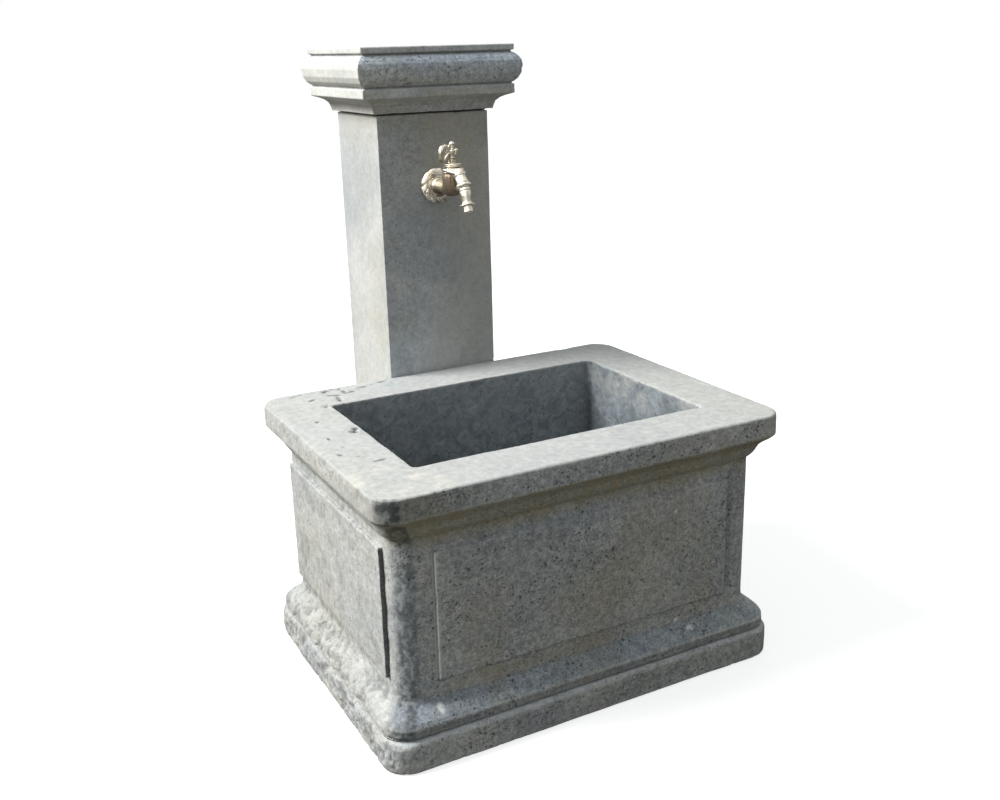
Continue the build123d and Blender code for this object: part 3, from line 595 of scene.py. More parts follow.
def brass_material(name, base=(0.80, 0.64, 0.36), dark=(0.20, 0.12, 0.05), rough=0.16, scale=1.0):
    """Cast brass, hand polished: bright on what stands proud, browned in the hollows, and browned
    where painted shade and painted reflection are given.
    """
    n = Nodes(name)
    cast = n.noise(0.0045 * scale, 4, 0.6, seed=2.0)
    fine = n.noise(0.0009 * scale, 3, 0.6, seed=5.0)
    tone = n.mix(n.remap(cast, 0.3, 0.7), base, tuple(min(1, c * 1.12) for c in base))
    hollow_and_shade = n.attribute("hollow_and_shade")
    deep = n.remap(n.math("ADD", hollow_and_shade, n.math("MULTIPLY", n.math("SUBTRACT", cast, 0.5), 0.35)), 0.22, 0.75)
    tone = n.mix(n.math("MULTIPLY", deep, 0.92), tone, dark)
    n.put(n.bsdf.inputs["Base Color"], tone)
    n.bsdf.inputs["Metallic"].default_value = 1.0
    r = n.math("ADD", n.remap(fine, 0.3, 0.75, rough, rough + 0.13), n.math("MULTIPLY", deep, 0.30))
    n.put(n.bsdf.inputs["Roughness"], r)
    h1 = n.bump(cast, 0.00022 * scale, 0.6)
    n.put(n.bsdf.inputs["Normal"], n.bump(fine, 0.00004 * scale, 0.5, h1))
    return n.mat


def metal_material(name, base, rough, grain=0.0006, lines=(1, 1, 1), spots=None):
    n = Nodes(name)
    wide = n.noise(0.02, 4, 0.6, seed=1.5)
    fine = n.noise(grain, 3, 0.6, vec=n.scaled(lines), seed=3.0)
    tone = n.mix(n.remap(wide, 0.3, 0.7), tuple(c * 0.82 for c in base), tuple(min(1, c * 1.1) for c in base))
    if spots:
        tone = n.mix(n.remap(n.noise(0.007, 5, 0.7, 0.4, seed=9.0), 0.58, 0.72, 0, 0.8), tone, spots)
    n.put(n.bsdf.inputs["Base Color"], tone)
    n.bsdf.inputs["Metallic"].default_value = 1.0
    n.put(n.bsdf.inputs["Roughness"], n.remap(fine, 0.25, 0.8, rough, rough + 0.18))
    n.put(n.bsdf.inputs["Normal"], n.bump(fine, 0.00004, 0.6))
    return n.mat


def dull_material(name, base, rough=0.7, grain=0.0012, depth=0.0001, vary=0.15):
    n = Nodes(name)
    wide = n.noise(0.012, 4, 0.6, seed=4.5)
    fine = n.noise(grain, 3, 0.6, seed=6.0)
    tone = n.mix(
        n.remap(wide, 0.3, 0.7),
        tuple(c * (1 - vary) for c in base),
        tuple(min(1, c * (1 + vary)) for c in base),
    )
    n.put(n.bsdf.inputs["Base Color"], tone)
    n.put(n.bsdf.inputs["Roughness"], n.remap(fine, 0.3, 0.7, rough - 0.08, rough + 0.1))
    n.put(n.bsdf.inputs["Normal"], n.bump(fine, depth, 0.7))
    return n.mat


# ====================================================================== places from the frame
SLAB_LO, SLAB_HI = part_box("base_plinth")
BASIN_LO, BASIN_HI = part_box("basin")
COL_LO, COL_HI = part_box("column")
CAP_LO, CAP_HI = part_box("capital")
ROSE_LO, ROSE_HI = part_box("rosette")
BODY_LO, BODY_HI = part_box("tap_body")
SPIN_LO, SPIN_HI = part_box("spindle")
BASIN_C = (BASIN_LO + BASIN_HI) / 2
FACE_Y = COL_LO.y
TAP_Z = (ROSE_LO.z + ROSE_HI.z) / 2
VALVE = Vector((0, (SPIN_LO.y + SPIN_HI.y) / 2, 0))

STONE = {
    "basin": stone_material("stone_basin", 1.0, olive=0.55, blue=0.5, coarse=1.0, light=1.40),
    "slab": stone_material("stone_slab", 14.0, olive=0.6, blue=0.35, coarse=1.05, light=1.36),
    "column": stone_material("stone_column", 27.0, olive=0.5, blue=0.35, coarse=0.95, light=1.62),
    "capital": stone_material("stone_capital", 41.0, olive=0.45, blue=0.4, coarse=0.95, light=1.92),
}


# ====================================================================== stone pieces
def dressed(name, node, voxel, seed, wave=0.9, tool=0.35, pit=(0.010, 0.12, 0.0022, 0.0045, 1.1), wear=0.6, chips=0.3, radius=2, inward=False, rough=None, soften=None):
    """A CAD stone rebuilt as a fine mesh, then weathered: arrises rubbed down unevenly and chipped,
    faces a little wavy from hand dressing, and pitted. It is painted with paler rubbed arrises, which also serve as
    painted highlight, and with painted shade in creases. rough(co, nrm) may give extra relief in metres, per point."""
    o = merged_copy(node, name)
    remesh_sharp(o, voxel)
    me = o.data
    co, e = points(me), edges_of(me)
    nrm = normals(me)
    # arrises: where smoothing pulls the surface inwards, by how much
    soft = smoothed(co, e, 5, 0.6)
    pull = ((soft - co) * nrm).sum(1)
    convex = np.clip(-pull / (0.30 * voxel), 0, 1)
    concave = np.clip(pull / (0.30 * voxel), 0, 1)
    near = np.clip(smoothed(convex[:, None], e, 3, 0.7)[:, 0] * 1.6, 0, 1)
    where = np.clip(0.5 + 0.75 * fbm(co, 0.045, seed + 3, 4, 0.65), 0, 1)
    rub = np.clip(wear * (0.30 + 1.0 * where) * np.clip(near * 2.0, 0, 1), 0, 1)
    co = smoothed(co, e, radius, 0.6, rub.astype(np.float64))
    if soften is not None:
        co = smoothed(co, e, 12, 0.6, soften(co).astype(np.float64))
    set_points(me, co)
    nrm = normals(me)
    # chips bitten out of the arrises
    at_edge = np.clip(near * 1.6, 0, 1)
    bite = pit_field(co, 0.032, seed + 40, chips, 0.005, 0.013) * at_edge
    small = pit_field(co, 0.011, seed + 60, min(1.0, chips * 1.8), 0.0025, 0.0052) * at_edge
    depth = 0.0020 * bite**0.8 + 0.0010 * small
    # dressing waves, tooling, pits
    flat = 1 - 0.6 * near
    h = wave * MM * fbm(co, 0.11, seed, 3, 0.55) + tool * MM * fbm(co, 0.016, seed + 9, 3, 0.6) * flat
    if inward:
        h = h - (wave + tool) * MM * 0.8
    if rough is not None:
        h = h + rough(co, nrm) * flat
    cell, share, r0, r1, dep = pit
    drift = step(fbm(co, 0.07, seed + 71, 2), -0.35, 0.5)
    pits = pit_field(co, cell, seed + 80, share, r0, r1) * drift
    h = h - dep * MM * pits**0.8 - depth
    co = co + nrm * h[:, None]
    set_points(me, co)
    # rubbed arrises made paler; the basin also uses this for painted highlight on its panel edges
    wear_and_highlight = np.clip(near * 1.2 - 0.1, 0, 1) * (0.25 + 0.75 * where)
    # painted shade: creases and inner corners darkened by how far they sink
    grime_and_shade = np.clip(smoothed(concave[:, None], e, 2, 0.6)[:, 0] * 1.1, 0, 0.8)
    paint(me, "wear_and_highlight", wear_and_highlight)
    paint(me, "grime_and_shade", grime_and_shade)
    paint(me, "pit", pits)
    for a in ("bowl", "stain_and_shade", "rust", "bloom", "polish", "blue", "cream", "pale"):
        paint(me, a, np.zeros(len(co)))
    return o, co, nrm, near, wear_and_highlight, grime_and_shade


def finish_stone(o, body, node, mat):
    o.data.materials.append(mat)
    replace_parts(o, *([node] if isinstance(node, str) else node))
    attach(o, body)
    return o


FOUNTAIN = "fountain"
V = 1.0

# --- basin
def lumps(co, nrm, axis=0, beyond=0.33):
    """The ends are left from the point chisel: short lumps, bolder towards the foot."""
    side = step(np.abs(nrm[:, axis]), 0.25, 0.75) * (np.abs(co[:, axis]) > beyond)
    low = step(0.150 - co[:, 2], 0.0, 0.05)
    small = fbm(co, (0.013, 0.013, 0.024), 701, 3, 0.6)
    wide = fbm(co, (0.040, 0.040, 0.034), 731, 3, 0.55)
    bold = fbm(co, (0.018, 0.018, 0.016), 751, 3, 0.6)
    crisp = fbm(co, 0.0095, 761, 2, 0.6)
    side = side * np.where(co[:, axis] > 0, 0.22, 1.0)
    return MM * side * np.minimum(1.3 * small + 1.4 * wide + low * (4.6 * bold + 3.0 * wide + 3.4 * crisp + 0.4), 1.9)


def marks(co, spots):
    """0..1 inside each oval mark (x, y, half length, half width, turn), in mm on the rim."""
    out = np.zeros(len(co), np.float32)
    for sx, sy, a, b, turn in spots:
        dx, dy = co[:, 0] * 1000 - sx, co[:, 1] * 1000 - sy
        c, s_ = math.cos(math.radians(turn)), math.sin(math.radians(turn))
        u, v = (dx * c + dy * s_) / a, (-dx * s_ + dy * c) / b
        out = np.maximum(out, np.clip(1.6 * (1 - u * u - v * v), 0, 1))
    return out


RIM_HOLES = [(-299, -90, 8.5, 6, 20), (-308, -106, 10, 6.5, -50), (-303, -99, 5, 4.5, 0), (-370, -205, 6, 4.5, 30), (-352, -170, 3, 2.5, 0)]
RIM_DENTS = [(-285, 189, 16.1, 5.9, 10), (-268, 150, 25.3, 6.5, 25), (-264, 118, 17.2, 5.9, -20), (-262, 92, 23, 5.2, 80),
             (-228, 121, 19.5, 5.5, 5), (-190, 140, 23, 4.7, 12), (-242, 150, 14.9, 5.2, 40), (-207, 126, 16.1, 4.7, -10), (-238, 132, 9.2, 7.8, 0),
             (-300, 60, 13.8, 4.2, 70), (-330, 150, 17.2, 3.9, 15), (-150, 152, 17.2, 3.6, 4), (-345, -20, 9.2, 3.4, 60), (-310, 110, 11.5, 4.2, 30),
             (-322, -262, 16.1, 3.9, 10), (-340, -230, 11.5, 3.4, -30), (-360, -120, 10.3, 3.1, 75)]
BOWL_X = (BASIN_HI.x - BASIN_LO.x) / 2 - 0.109
RIM_Z = BASIN_HI.z


def rim_softening(co):
    ends = step(np.abs(co[:, 0]), 0.372, 0.392) * step(co[:, 2], RIM_Z - 0.030, RIM_Z - 0.008)
    inner = step(0.020 - np.abs(co[:, 0] - BOWL_X), 0.0, 0.012) * step(co[:, 2], RIM_Z - 0.030, RIM_Z - 0.012)
    inner *= step(fbm(co, (0.2, 0.07, 0.2), 771, 2), -0.5, 0.1)
    foot = step(np.abs(co[:, 0]), 0.355, 0.375) * step(0.125 - co[:, 2], 0.0, 0.01) * (co[:, 0] < 0)
    under = step(0.012 - np.abs(co[:, 2] - 0.406), 0.0, 0.006) * (np.abs(co[:, 0]) > 0.30)
    cove = step(0.013 - np.abs(co[:, 2] - 0.405), 0.0, 0.006)
    toe = step(0.012 - np.abs(co[:, 2] - 0.106), 0.0, 0.006)
    return np.clip(0.75 * ends + inner + 0.85 * foot + 0.9 * np.maximum(under, cove) + 0.7 * toe, 0, 1)


basin, co, nrm, near, wear_and_highlight, grime_and_shade = dressed(
    "basin_stone", "basin", 0.0026 * V, 5, wave=0.8, tool=0.22, pit=(0.0125, 0.36, 0.0018, 0.0042, 1.1), wear=0.7, chips=0.16,
    rough=lumps, soften=rim_softening,
)
x, y, z = co[:, 0] - BASIN_C.x, co[:, 1] - BASIN_C.y, co[:, 2]
half_w, half_d = (BASIN_HI.x - BASIN_LO.x) / 2, (SLAB_HI.y - SLAB_LO.y) / 2
inset = np.minimum(half_w - np.abs(x), half_d - np.abs(y))
inside = step(inset, 0.103, 0.112) * step(RIM_Z - z, 0.0, 0.005) * (z > 0.12)
top = step(z, RIM_Z - 0.006, RIM_Z - 0.001) * (nrm[:, 2] > 0.5)
# the opening's left arris wanders and its right one is knocked about; holes in the rim's top
at_left = step(0.016 - np.abs(x + BOWL_X), 0.0, 0.010) * step(z, RIM_Z - 0.05, RIM_Z - 0.01)
at_right = step(0.022 - np.abs(x - BOWL_X), 0.0, 0.012) * step(z, RIM_Z - 0.05, RIM_Z - 0.02)
co[:, 0] += MM * (1.5 * fbm(co, (0.3, 0.045, 0.3), 781, 3) * at_left + 2.4 * fbm(co, (0.3, 0.06, 0.3), 783, 3) * at_right)
holes, dents = marks(co, RIM_HOLES), marks(co, RIM_DENTS)
broken = step(fbm(co, 0.007, 787, 2), -0.35, 0.0)
dents = dents * broken
co[:, 2] -= MM * top * (4.5 * holes + 2.0 * dents)
co[:, 2] -= MM * at_right * top * np.clip(2.2 * fbm(co, 0.025, 789, 3), 0, 1.5)
set_points(basin.data, co)
front = step(-nrm[:, 1], 0.2, 0.6) * (y < -0.2)
left = step(np.abs(nrm[:, 0]), 0.35, 0.7) * (np.abs(x) > 0.33)
level = np.hypot(nrm[:, 0], nrm[:, 1])
speckle = step(fbm(co, 0.0085, 803, 2), -0.30, 0.30)
turned_y = -nrm[:, 1] / np.maximum(level, 0.05) * (level > 0.25)
# painted shade: the front-left round corner, turning from the light, is darkened and tinted blue
corner_shade = step(turned_y, 0.34, 0.66) * (1 - step(turned_y, 0.975, 0.9995)) * step(-0.31 - x, 0.0, 0.03)
beside = front * (1 - top) * (0.45 * step(-0.22 - x, 0.0, 0.14) + 2.9 * step(-0.14 - x, 0.0, 0.20) * step(z, 0.449, 0.455)) * (0.75 + 0.5 * speckle)
# under the rim's moulding: an olive stain, darkened also as painted shade under the overhang
under_rim = step(z, 0.375, 0.405) * step(RIM_Z - 0.040 - z, -0.004, 0.002)
right_wall = inside * step(-nrm[:, 0], 0.3, 0.8)
edge_noise = fbm(co, (0.11, 0.11, 0.028), 311, 4, 0.6)
stain_and_shade = (
    under_rim * step(edge_noise, -0.75, 0.05) * (0.12 + 0.88 * front)
    + 0.42 * front * step(0.142 - z, 0.0, 0.012) * step(z, 0.100, 0.112) * step(edge_noise, -0.4, 0.3)
    + 0.30 * front * step(fbm(co, (0.10, 0.10, 0.2), 331, 3), 0.10, 0.5)
) * (1 - inside) * (1 - top)
paint(basin.data, "stain_and_shade", np.clip(stain_and_shade, 0, 0.9))
paint(basin.data, "rust", np.clip(0.5 * under_rim * front * step(fbm(co, (0.05, 0.05, 0.02), 351, 3), 0.12, 0.5) * (1 - inside), 0, 0.5))
paint(basin.data, "bowl", inside)
slope = front * step(z, 0.079, 0.084) * step(0.112 - z, 0.0, 0.006)
blue_drift = step(fbm(co, (0.09, 0.09, 0.07), 371, 3), -0.15, 0.45)
# painted shadow: a soft bluish patch with less dust on the rim in front of the column
column_shadow = top * step(y, 0.20, 0.235) * step(0.20 - np.abs(x + 0.02), 0.0, 0.10)
paint(basin.data, "blue", np.clip(0.75 * slope + 0.7 * corner_shade + 0.22 * blue_drift * front + 0.7 * column_shadow + 0.5 * right_wall, 0, 1))
corner = step(0.16 - np.hypot(x + 0.36, y + 0.25), 0.0, 0.10)
paint(basin.data, "cream", np.clip(0.40 * right_wall * step(fbm(co, 0.035, 799, 3), 0.0, 0.3) * step(z, 0.40, 0.47) + 0.52 * top * corner * step(fbm(co, 0.03, 381, 3), -0.1, 0.4) + 0.10 * left, 0, 0.6))
up = np.clip(nrm[:, 2], 0, 1)
paint(basin.data, "bloom", np.clip((0.68 + 0.29 * step(x, -0.30, 0.15)) * top - 0.12 * column_shadow + 0.25 * up * (1 - inside) * (1 - slope) + 0.27 * left, 0, 0.97))
paint(basin.data, "polish", np.clip(0.80 * top + 0.55 * inside + 0.45 * left, 0, 1))
# which arrises show pale from wear or as painted highlight, and which corners and edges get painted shade
FP_X, FP_LO, FP_HI = 0.296, 0.141, 0.372
on_panel = front * (np.abs(x) < FP_X + 0.010) * (z > FP_LO - 0.010) * (z < FP_HI + 0.010) * (y < -0.255)
e_left, e_right = step(0.010 - np.abs(x + FP_X), 0, 0.003), step(0.010 - np.abs(x - FP_X), 0, 0.003)
e_top, e_bottom = step(0.009 - np.abs(z - FP_HI), 0, 0.003), step(0.009 - np.abs(z - FP_LO), 0, 0.003)
bits = step(fbm(co, (0.06, 0.06, 0.3), 391, 2), 0.0, 0.35)
# painted highlight: the panel's left edge and, in bits, its top edge are made paler, as edges facing the light
w = np.where(on_panel > 0.3, 1.5 * e_left * (1 - e_bottom) + 0.75 * e_top * bits + 0.35 * e_right + 0.05, 0.45)
w = np.where(top > 0.5, 0.15, w)
w = np.where((left > 0.5) | (np.abs(x) > 0.385), 0.10, w)
foot_line = front * step(0.006 - np.abs(z - 0.081), 0.0, 0.003)
w = np.where(foot_line > 0.4, 0.8, w)
# painted shade: dark lines beside the panel's left and right edges, and weights for crease darkening elsewhere
crease_shade_weight = np.where(on_panel > 0.3, 0.95 * e_left + 0.10 * e_top + 0.75 * e_right + 0.10 * e_bottom, 0.16)
# painted shadow: a dark line just under the rim's fascia on the front
crease_shade_weight = np.where(front * step(0.005 - np.abs(z - 0.447), 0.0, 0.002) > 0.4, 0.75, crease_shade_weight)
crease_shade_weight = np.where(left > 0.5, 0.22, crease_shade_weight)
low_spots = np.clip(-lumps(co, nrm) / (1.6 * MM), 0, 1)
# painted shade: a dark strip just right of the front panel's right edge
right_edge_shade = front * step(x, 0.297, 0.300) * step(0.314 - x, 0.0, 0.004) * (z > 0.150) * (z < 0.385) * (y < -0.25)
crease_shade_weight = np.where(inside > 0.5, 0.5, crease_shade_weight)
joint = front * step(0.079 - z, 0.0, 0.004)
# painted shade: the front-facing side of each end panel, turned from the light, is darkened
end_groove_shade = step(-nrm[:, 1], 0.5, 0.9) * (np.abs(x) > 0.360) * step(0.006 - np.abs(y + 0.222), 0.0, 0.003) * (z < 0.385) * (z > 0.14)
pale = np.zeros(len(co), np.float32)
for sx, sz, a, b in ((0.187, 0.112, 0.006, 0.005), (0.212, 0.095, 0.009, 0.004), (-0.300, 0.095, 0.007, 0.007), (0.02, 0.30, 0.003, 0.003), (0.18, 0.335, 0.003, 0.004)):
    pale = np.maximum(pale, np.clip(1.4 * (1 - ((x - sx) / a) ** 2 - ((z - sz) / b) ** 2), 0, 1))
# painted highlight: thin pale lines on the panel's left and top edges
line_l = on_panel * step(0.0030 - np.abs(x + FP_X), 0.0, 0.0010) * (z > FP_LO + 0.002) * (z < FP_HI - 0.002)
line_t = on_panel * step(0.0030 - np.abs(z - FP_HI), 0.0, 0.0010) * bits
ridge = step(0.004 - np.abs(z - 0.108), 0.0, 0.002) * corner_shade
paint(basin.data, "pale", np.clip(0.85 * line_l + 0.30 * line_t + 0.8 * pale * front * broken + 0.30 * ridge, 0, 0.9))
paint(basin.data, "wear_and_highlight", np.clip(wear_and_highlight * w, 0, 1))
paint(basin.data, "grime_and_shade", np.clip(grime_and_shade * crease_shade_weight + 0.34 * joint + 0.66 * end_groove_shade + top * (0.95 * holes + 0.80 * dents) + 0.38 * left * low_spots + 0.26 * right_edge_shade + 0.52 * corner_shade * (0.50 + 0.75 * speckle) * (1 - 0.4 * ridge) + 0.12 * beside + 0.17 * slope + 0.12 * inside * step(0.42 - z, 0.0, 0.20) + right_wall * 0.15 + 0.36 * right_wall * step(fbm(co, 0.045, 797, 4, 0.6), -0.05, 0.30) + 0.16 * step(np.abs(x), 0.385, 0.394) * near, 0, 0.93))
finish_stone(basin, FOUNTAIN, "basin", STONE["basin"])

# --- slab
def slab_lumps(co, nrm):
    side = step(np.abs(nrm[:, 0]), 0.25, 0.7) * (np.abs(co[:, 0]) > 0.34)
    bold = fbm(co, (0.020, 0.020, 0.018), 761, 3, 0.6)
    wide = fbm(co, (0.055, 0.055, 0.05), 763, 3, 0.55)
    crisp = fbm(co, 0.0100, 767, 2, 0.6)
    side = side * np.where(co[:, 0] > 0, 0.22, 1.0)
    return MM * side * np.minimum(4.4 * bold + 3.4 * wide + 3.6 * crisp, 1.7)


def slab_softening(co):
    return 0.9 * step(-co[:, 0], 0.345, 0.370) * step(co[:, 2], 0.02, 0.05)


slab, co, nrm, near, wear_and_highlight, grime_and_shade = dressed(
    "plinth_stone", "base_plinth", 0.0028 * V, 23, wave=1.0, tool=0.35, pit=(0.013, 0.36, 0.0020, 0.0048, 1.3), wear=0.85, chips=0.25, radius=3,
    rough=slab_lumps, soften=slab_softening,
)
co[:, 2] = np.maximum(co[:, 2], 0.0)
set_points(slab.data, co)
ends = step(np.abs(nrm[:, 0]), 0.3, 0.7)
paint(slab.data, "bloom", np.clip(0.45 * np.clip(nrm[:, 2], 0, 1) + 0.12 * ends, 0, 0.8))
paint(slab.data, "polish", 0.40 * ends)
paint(slab.data, "blue", 0.7 * step(nrm[:, 2], 0.2, 0.8) * (1 - ends))
paint(slab.data, "wear_and_highlight", np.clip(wear_and_highlight * np.where(ends > 0.4, 0.08, 1.3), 0, 1))
low_spots = np.clip(-slab_lumps(co, nrm) / (1.8 * MM), 0, 1)
paint(slab.data, "grime_and_shade", np.clip(grime_and_shade * 0.4 + 0.38 * ends * low_spots, 0, 0.9))
paint(slab.data, "pale", 0.36 * step(wear_and_highlight, 0.35, 0.8) * (1 - ends) * step(co[:, 2], 0.050, 0.056))
paint(slab.data, "cream", 0.30 * ends * step(fbm(co, 0.06, 421, 3), 0.0, 0.5))
paint(slab.data, "stain_and_shade", 0.18 * step(0.030 - co[:, 2], 0.0, 0.03) * step(fbm(co, 0.08, 411, 3), -0.2, 0.5))
finish_stone(slab, FOUNTAIN, "base_plinth", STONE["slab"])

# --- column
column, co, nrm, near, wear_and_highlight, grime_and_shade = dressed(
    "column_stone", "column", 0.0026 * V, 57, wave=0.5, tool=0.14, pit=(0.014, 0.30, 0.0018, 0.0040, 1.0), wear=0.45, chips=0.10, radius=1, inward=True
)
front = step(-nrm[:, 1], 0.3, 0.8)
right = step(co[:, 0] + 0.05 * fbm(co, (0.2, 0.2, 0.35), 441, 3), -0.07, 0.03)
high = step(co[:, 2], 0.72, 0.98)
paint(column.data, "stain_and_shade", np.clip(0.44 * right * (0.6 + 0.4 * high) + 0.22 * high, 0, 0.5) * front)
paint(column.data, "blue", 0.40 * (1 - right) * front * step(fbm(co, (0.07, 0.07, 0.14), 451, 3), -0.4, 0.2))
rough_left = (1 - right) * front
paint(column.data, "polish", np.clip(0.95 - 0.36 * rough_left, 0, 1))
paint(column.data, "pit", np.zeros(len(co)) + pit_field(co, 0.014, 137, 0.34, 0.0018, 0.0036) * rough_left * step(fbm(co, 0.06, 453, 2), -0.2, 0.3))
# painted light: cream patches on the column's face towards the light
paint(column.data, "cream", 0.20 * step(-nrm[:, 0], 0.5, 0.9) * step(fbm(co, (0.1, 0.1, 0.3), 457, 3), -0.5, 0.3))
paint(column.data, "wear_and_highlight", wear_and_highlight * 0.25)
paint(column.data, "grime_and_shade", grime_and_shade * 0.4)
finish_stone(column, FOUNTAIN, "column", STONE["column"])

# --- capital
capital, co, nrm, near, wear_and_highlight, grime_and_shade = dressed(
    "capital_stone", "capital", 0.0019 * V, 91, wave=0.4, tool=0.14, pit=(0.009, 0.30, 0.0013, 0.0030, 0.9), wear=0.5, chips=0.20, radius=1
)
lower = step(CAP_HI.z - 0.070 - co[:, 2], 0.0, 0.02)
facing_front = step(-nrm[:, 1], 0.2, 0.7) * (np.abs(nrm[:, 0]) < 0.6)
torus = step(co[:, 2], CAP_HI.z - 0.074, CAP_HI.z - 0.066) * step(CAP_HI.z - 0.013 - co[:, 2], 0.0, 0.004)
paint(capital.data, "stain_and_shade", np.clip((0.50 * lower + 0.25 * torus * step(CAP_HI.z - 0.045 - co[:, 2], 0, 0.02)) * step(fbm(co, (0.10, 0.10, 0.03), 471, 3), -0.5, 0.3), 0, 0.6) * facing_front)
paint(capital.data, "blue", np.clip(0.85 * torus * step(co[:, 2], CAP_HI.z - 0.050, CAP_HI.z - 0.020) + 0.25 * torus, 0, 1) * facing_front)
# painted light: the capital's end facing the light is given a lighter cream tint
lit_end = step(-nrm[:, 0], 0.4, 0.8)
paint(capital.data, "bloom", np.clip(0.6 * np.clip(nrm[:, 2], 0, 1) * (1 - torus) + 0.18 * torus * np.clip(nrm[:, 2], 0, 1), 0, 0.8))
paint(capital.data, "cream", np.clip(0.40 * lit_end + 0.30 * lower * facing_front * step(fbm(co, (0.12, 0.12, 0.04), 481, 3), -0.1, 0.4), 0, 0.8))
paint(capital.data, "polish", np.clip(0.88 - 0.78 * torus * facing_front - 0.36 * facing_front * (1 - torus), 0, 1))
paint(capital.data, "wear_and_highlight", wear_and_highlight * 0.35)
paint(capital.data, "grime_and_shade", grime_and_shade * 0.55)
finish_stone(capital, FOUNTAIN, "capital", STONE["capital"])


# --- mortar beds: rough-edged plates
def mortar(name, node, seed, flush=0.0):
    o = merged_copy(node, name)
    remesh(o, 0.0016 * V)
    me = o.data
    c, nr = points(me), normals(me)
    side = 1 - step(np.abs(nr[:, 2]), 0.3, 0.8)
    h = (0.8 * fbm(c, 0.012, seed, 3) - 1.2 * pit_field(c, 0.010, seed + 5, 0.4, 0.002, 0.005)) * MM * side
    if flush:
        end = step(np.abs(nr[:, 0]), 0.35, 0.8) * (np.abs(c[:, 0]) > 0.34)
        h += flush * end
        paint(me, "flush", end)
    set_points(me, c + nr * h[:, None])
    me.materials.append(MORTAR)
    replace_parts(o, node)
    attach(o, FOUNTAIN)
    return o


def mortar_material():
    n = Nodes("mortar")
    wide = n.noise(0.012, 4, 0.6, seed=4.5)
    fine = n.noise(0.0018, 3, 0.6, seed=6.0)
    dark = n.mix(n.remap(wide, 0.3, 0.7), (0.050, 0.050, 0.047), (0.105, 0.103, 0.095))
    pale = n.mix(n.remap(fine, 0.3, 0.7), (0.27, 0.27, 0.25), (0.44, 0.44, 0.41))
    n.put(n.bsdf.inputs["Base Color"], n.mix(n.attribute("flush"), dark, pale))
    n.put(n.bsdf.inputs["Roughness"], n.remap(fine, 0.3, 0.7, 0.82, 0.97))
    n.put(n.bsdf.inputs["Normal"], n.bump(fine, 0.0005, 0.7))
    return n.mat


MORTAR = mortar_material()
mortar("capital_mortar", "capital_mortar_bed", 501)
mortar("plinth_mortar", "plinth_mortar_bed", 521, 0.0075)

# ====================================================================== the tap
BRASS = brass_material("polished_brass", (0.90, 0.845, 0.735), (0.17, 0.125, 0.085), 0.20)


def hollowness(o, iters=10, span=0.0006, extra=None):
    """Paints the brass darkening attribute: 1 where the surface sinks below its surroundings.
    extra is added on top, and carries painted shade and painted reflection where it is given.
    """
    me = o.data
    c, e = points(me), edges_of(me)
    soft = smoothed(c, e, iters, 0.6)
    pull = ((soft - c) * normals(me)).sum(1)
    v = np.clip(pull / span, 0, 1)
    v = smoothed(v[:, None], e, 2, 0.6)[:, 0]
    if extra is not None:
        v = np.clip(v + extra, 0, 1)
    paint(me, "hollow_and_shade", v)
    return o


def brass_piece(o, body, *nodes, slot="polished_brass", mat=None):
    o.data.materials.append(mat or BRASS)
    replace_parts(o, *nodes)
    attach(o, body)
    return o


FACE = np.array((0, FACE_Y, TAP_Z))


# --- rosette: a ring of curling leaves round a smooth dished boss
def rosette_piece():
    leaves = 12
    steps = 90
    front = []
    for r in np.linspace(35.3, 10.7, steps):
        front.append(r)
    prof = [(10.7, 0.1), (18, 0.1), (27, 0.1), (33.0, 0.1), (34.6, 1.0)] + [(r, None) for r in front]

    def height(r, th):
        # th in radians from the top, round by the left; the leaves lean round as they rise from
        # the boss, are nearly rubbed away at the top and stand up at the lower edge
        keen = 0.10 + 0.90 * step(np.cos(th - math.radians(165)), -0.10, 0.70)
        t = np.clip((r - 17.0) / (35.3 - 17.0), 0, 1)
        lean = th + 0.62 * (1 - t) ** 1.3
        ph = (lean * leaves / (2 * math.pi)) % 1.0 - 0.5
        width = 0.5 * (0.66 + 0.34 * np.sin(math.pi * np.clip(t * 1.05, 0, 1)) ** 0.7)
        across = np.clip(np.abs(ph) / width, 0, 1.2)
        blade = np.clip(1 - across**2.4, 0, 1)
        vein = np.exp(-((ph / 0.055) ** 2))
        frill = 0.5 + 0.5 * np.cos(ph * 2 * math.pi * 4 + 5 * t)
        dome = 10.6 * np.sqrt(np.clip(1 - (0.93 * t) ** 2.2, 0, 1)) + 0.6
        rise = step(t, 0.22 - 0.10 * keen, 0.62)
        leaf = keen * (2.1 * blade * rise + 0.45 * frill * blade * t * rise - 0.6 * vein * rise) - 0.7 * keen * rise
        tip = 1.7 * keen * blade * step(t, 0.72, 0.98)
        base = dome + leaf + tip
        # boss: a low bead, then a dished hollow towards the neck
        bead = 0.7 * np.exp(-(((r - 17.0) / 1.2) ** 2))
        dish = 11.2 - 4.2 * step(17.0 - r, 0.0, 4.5)
        inner = step(17.8 - r, 0.0, 1.6)
        return base * (1 - inner) + dish * inner + bead

    def shape(th, rr, hh, k):
        ph = (th * leaves / (2 * math.pi)) % 1.0 - 0.5
        scallop = 1 - (0.012 + 0.030 * step(np.cos(th - math.radians(165)), -0.2, 0.6)) * np.abs(ph * 2) ** 2.2
        out = rr.copy()
        big = step(rr, 24.0, 35.3)
        out = rr * (1 - big * (1 - scallop))
        if prof[k][1] is None:
            h = height(rr, th)
            if k == 5:
                h = np.minimum(h, 2.4)
            return out, h
        return out, hh

    o = lathe("tap_rosette", prof, 360, FACE, (0, -1, 0), loop=True, shape=shape)
    return o


rose = rosette_piece()
rc = points(rose.data) * 1000
rr_ = np.hypot(rc[:, 0], rc[:, 2] - TAP_Z * 1000)
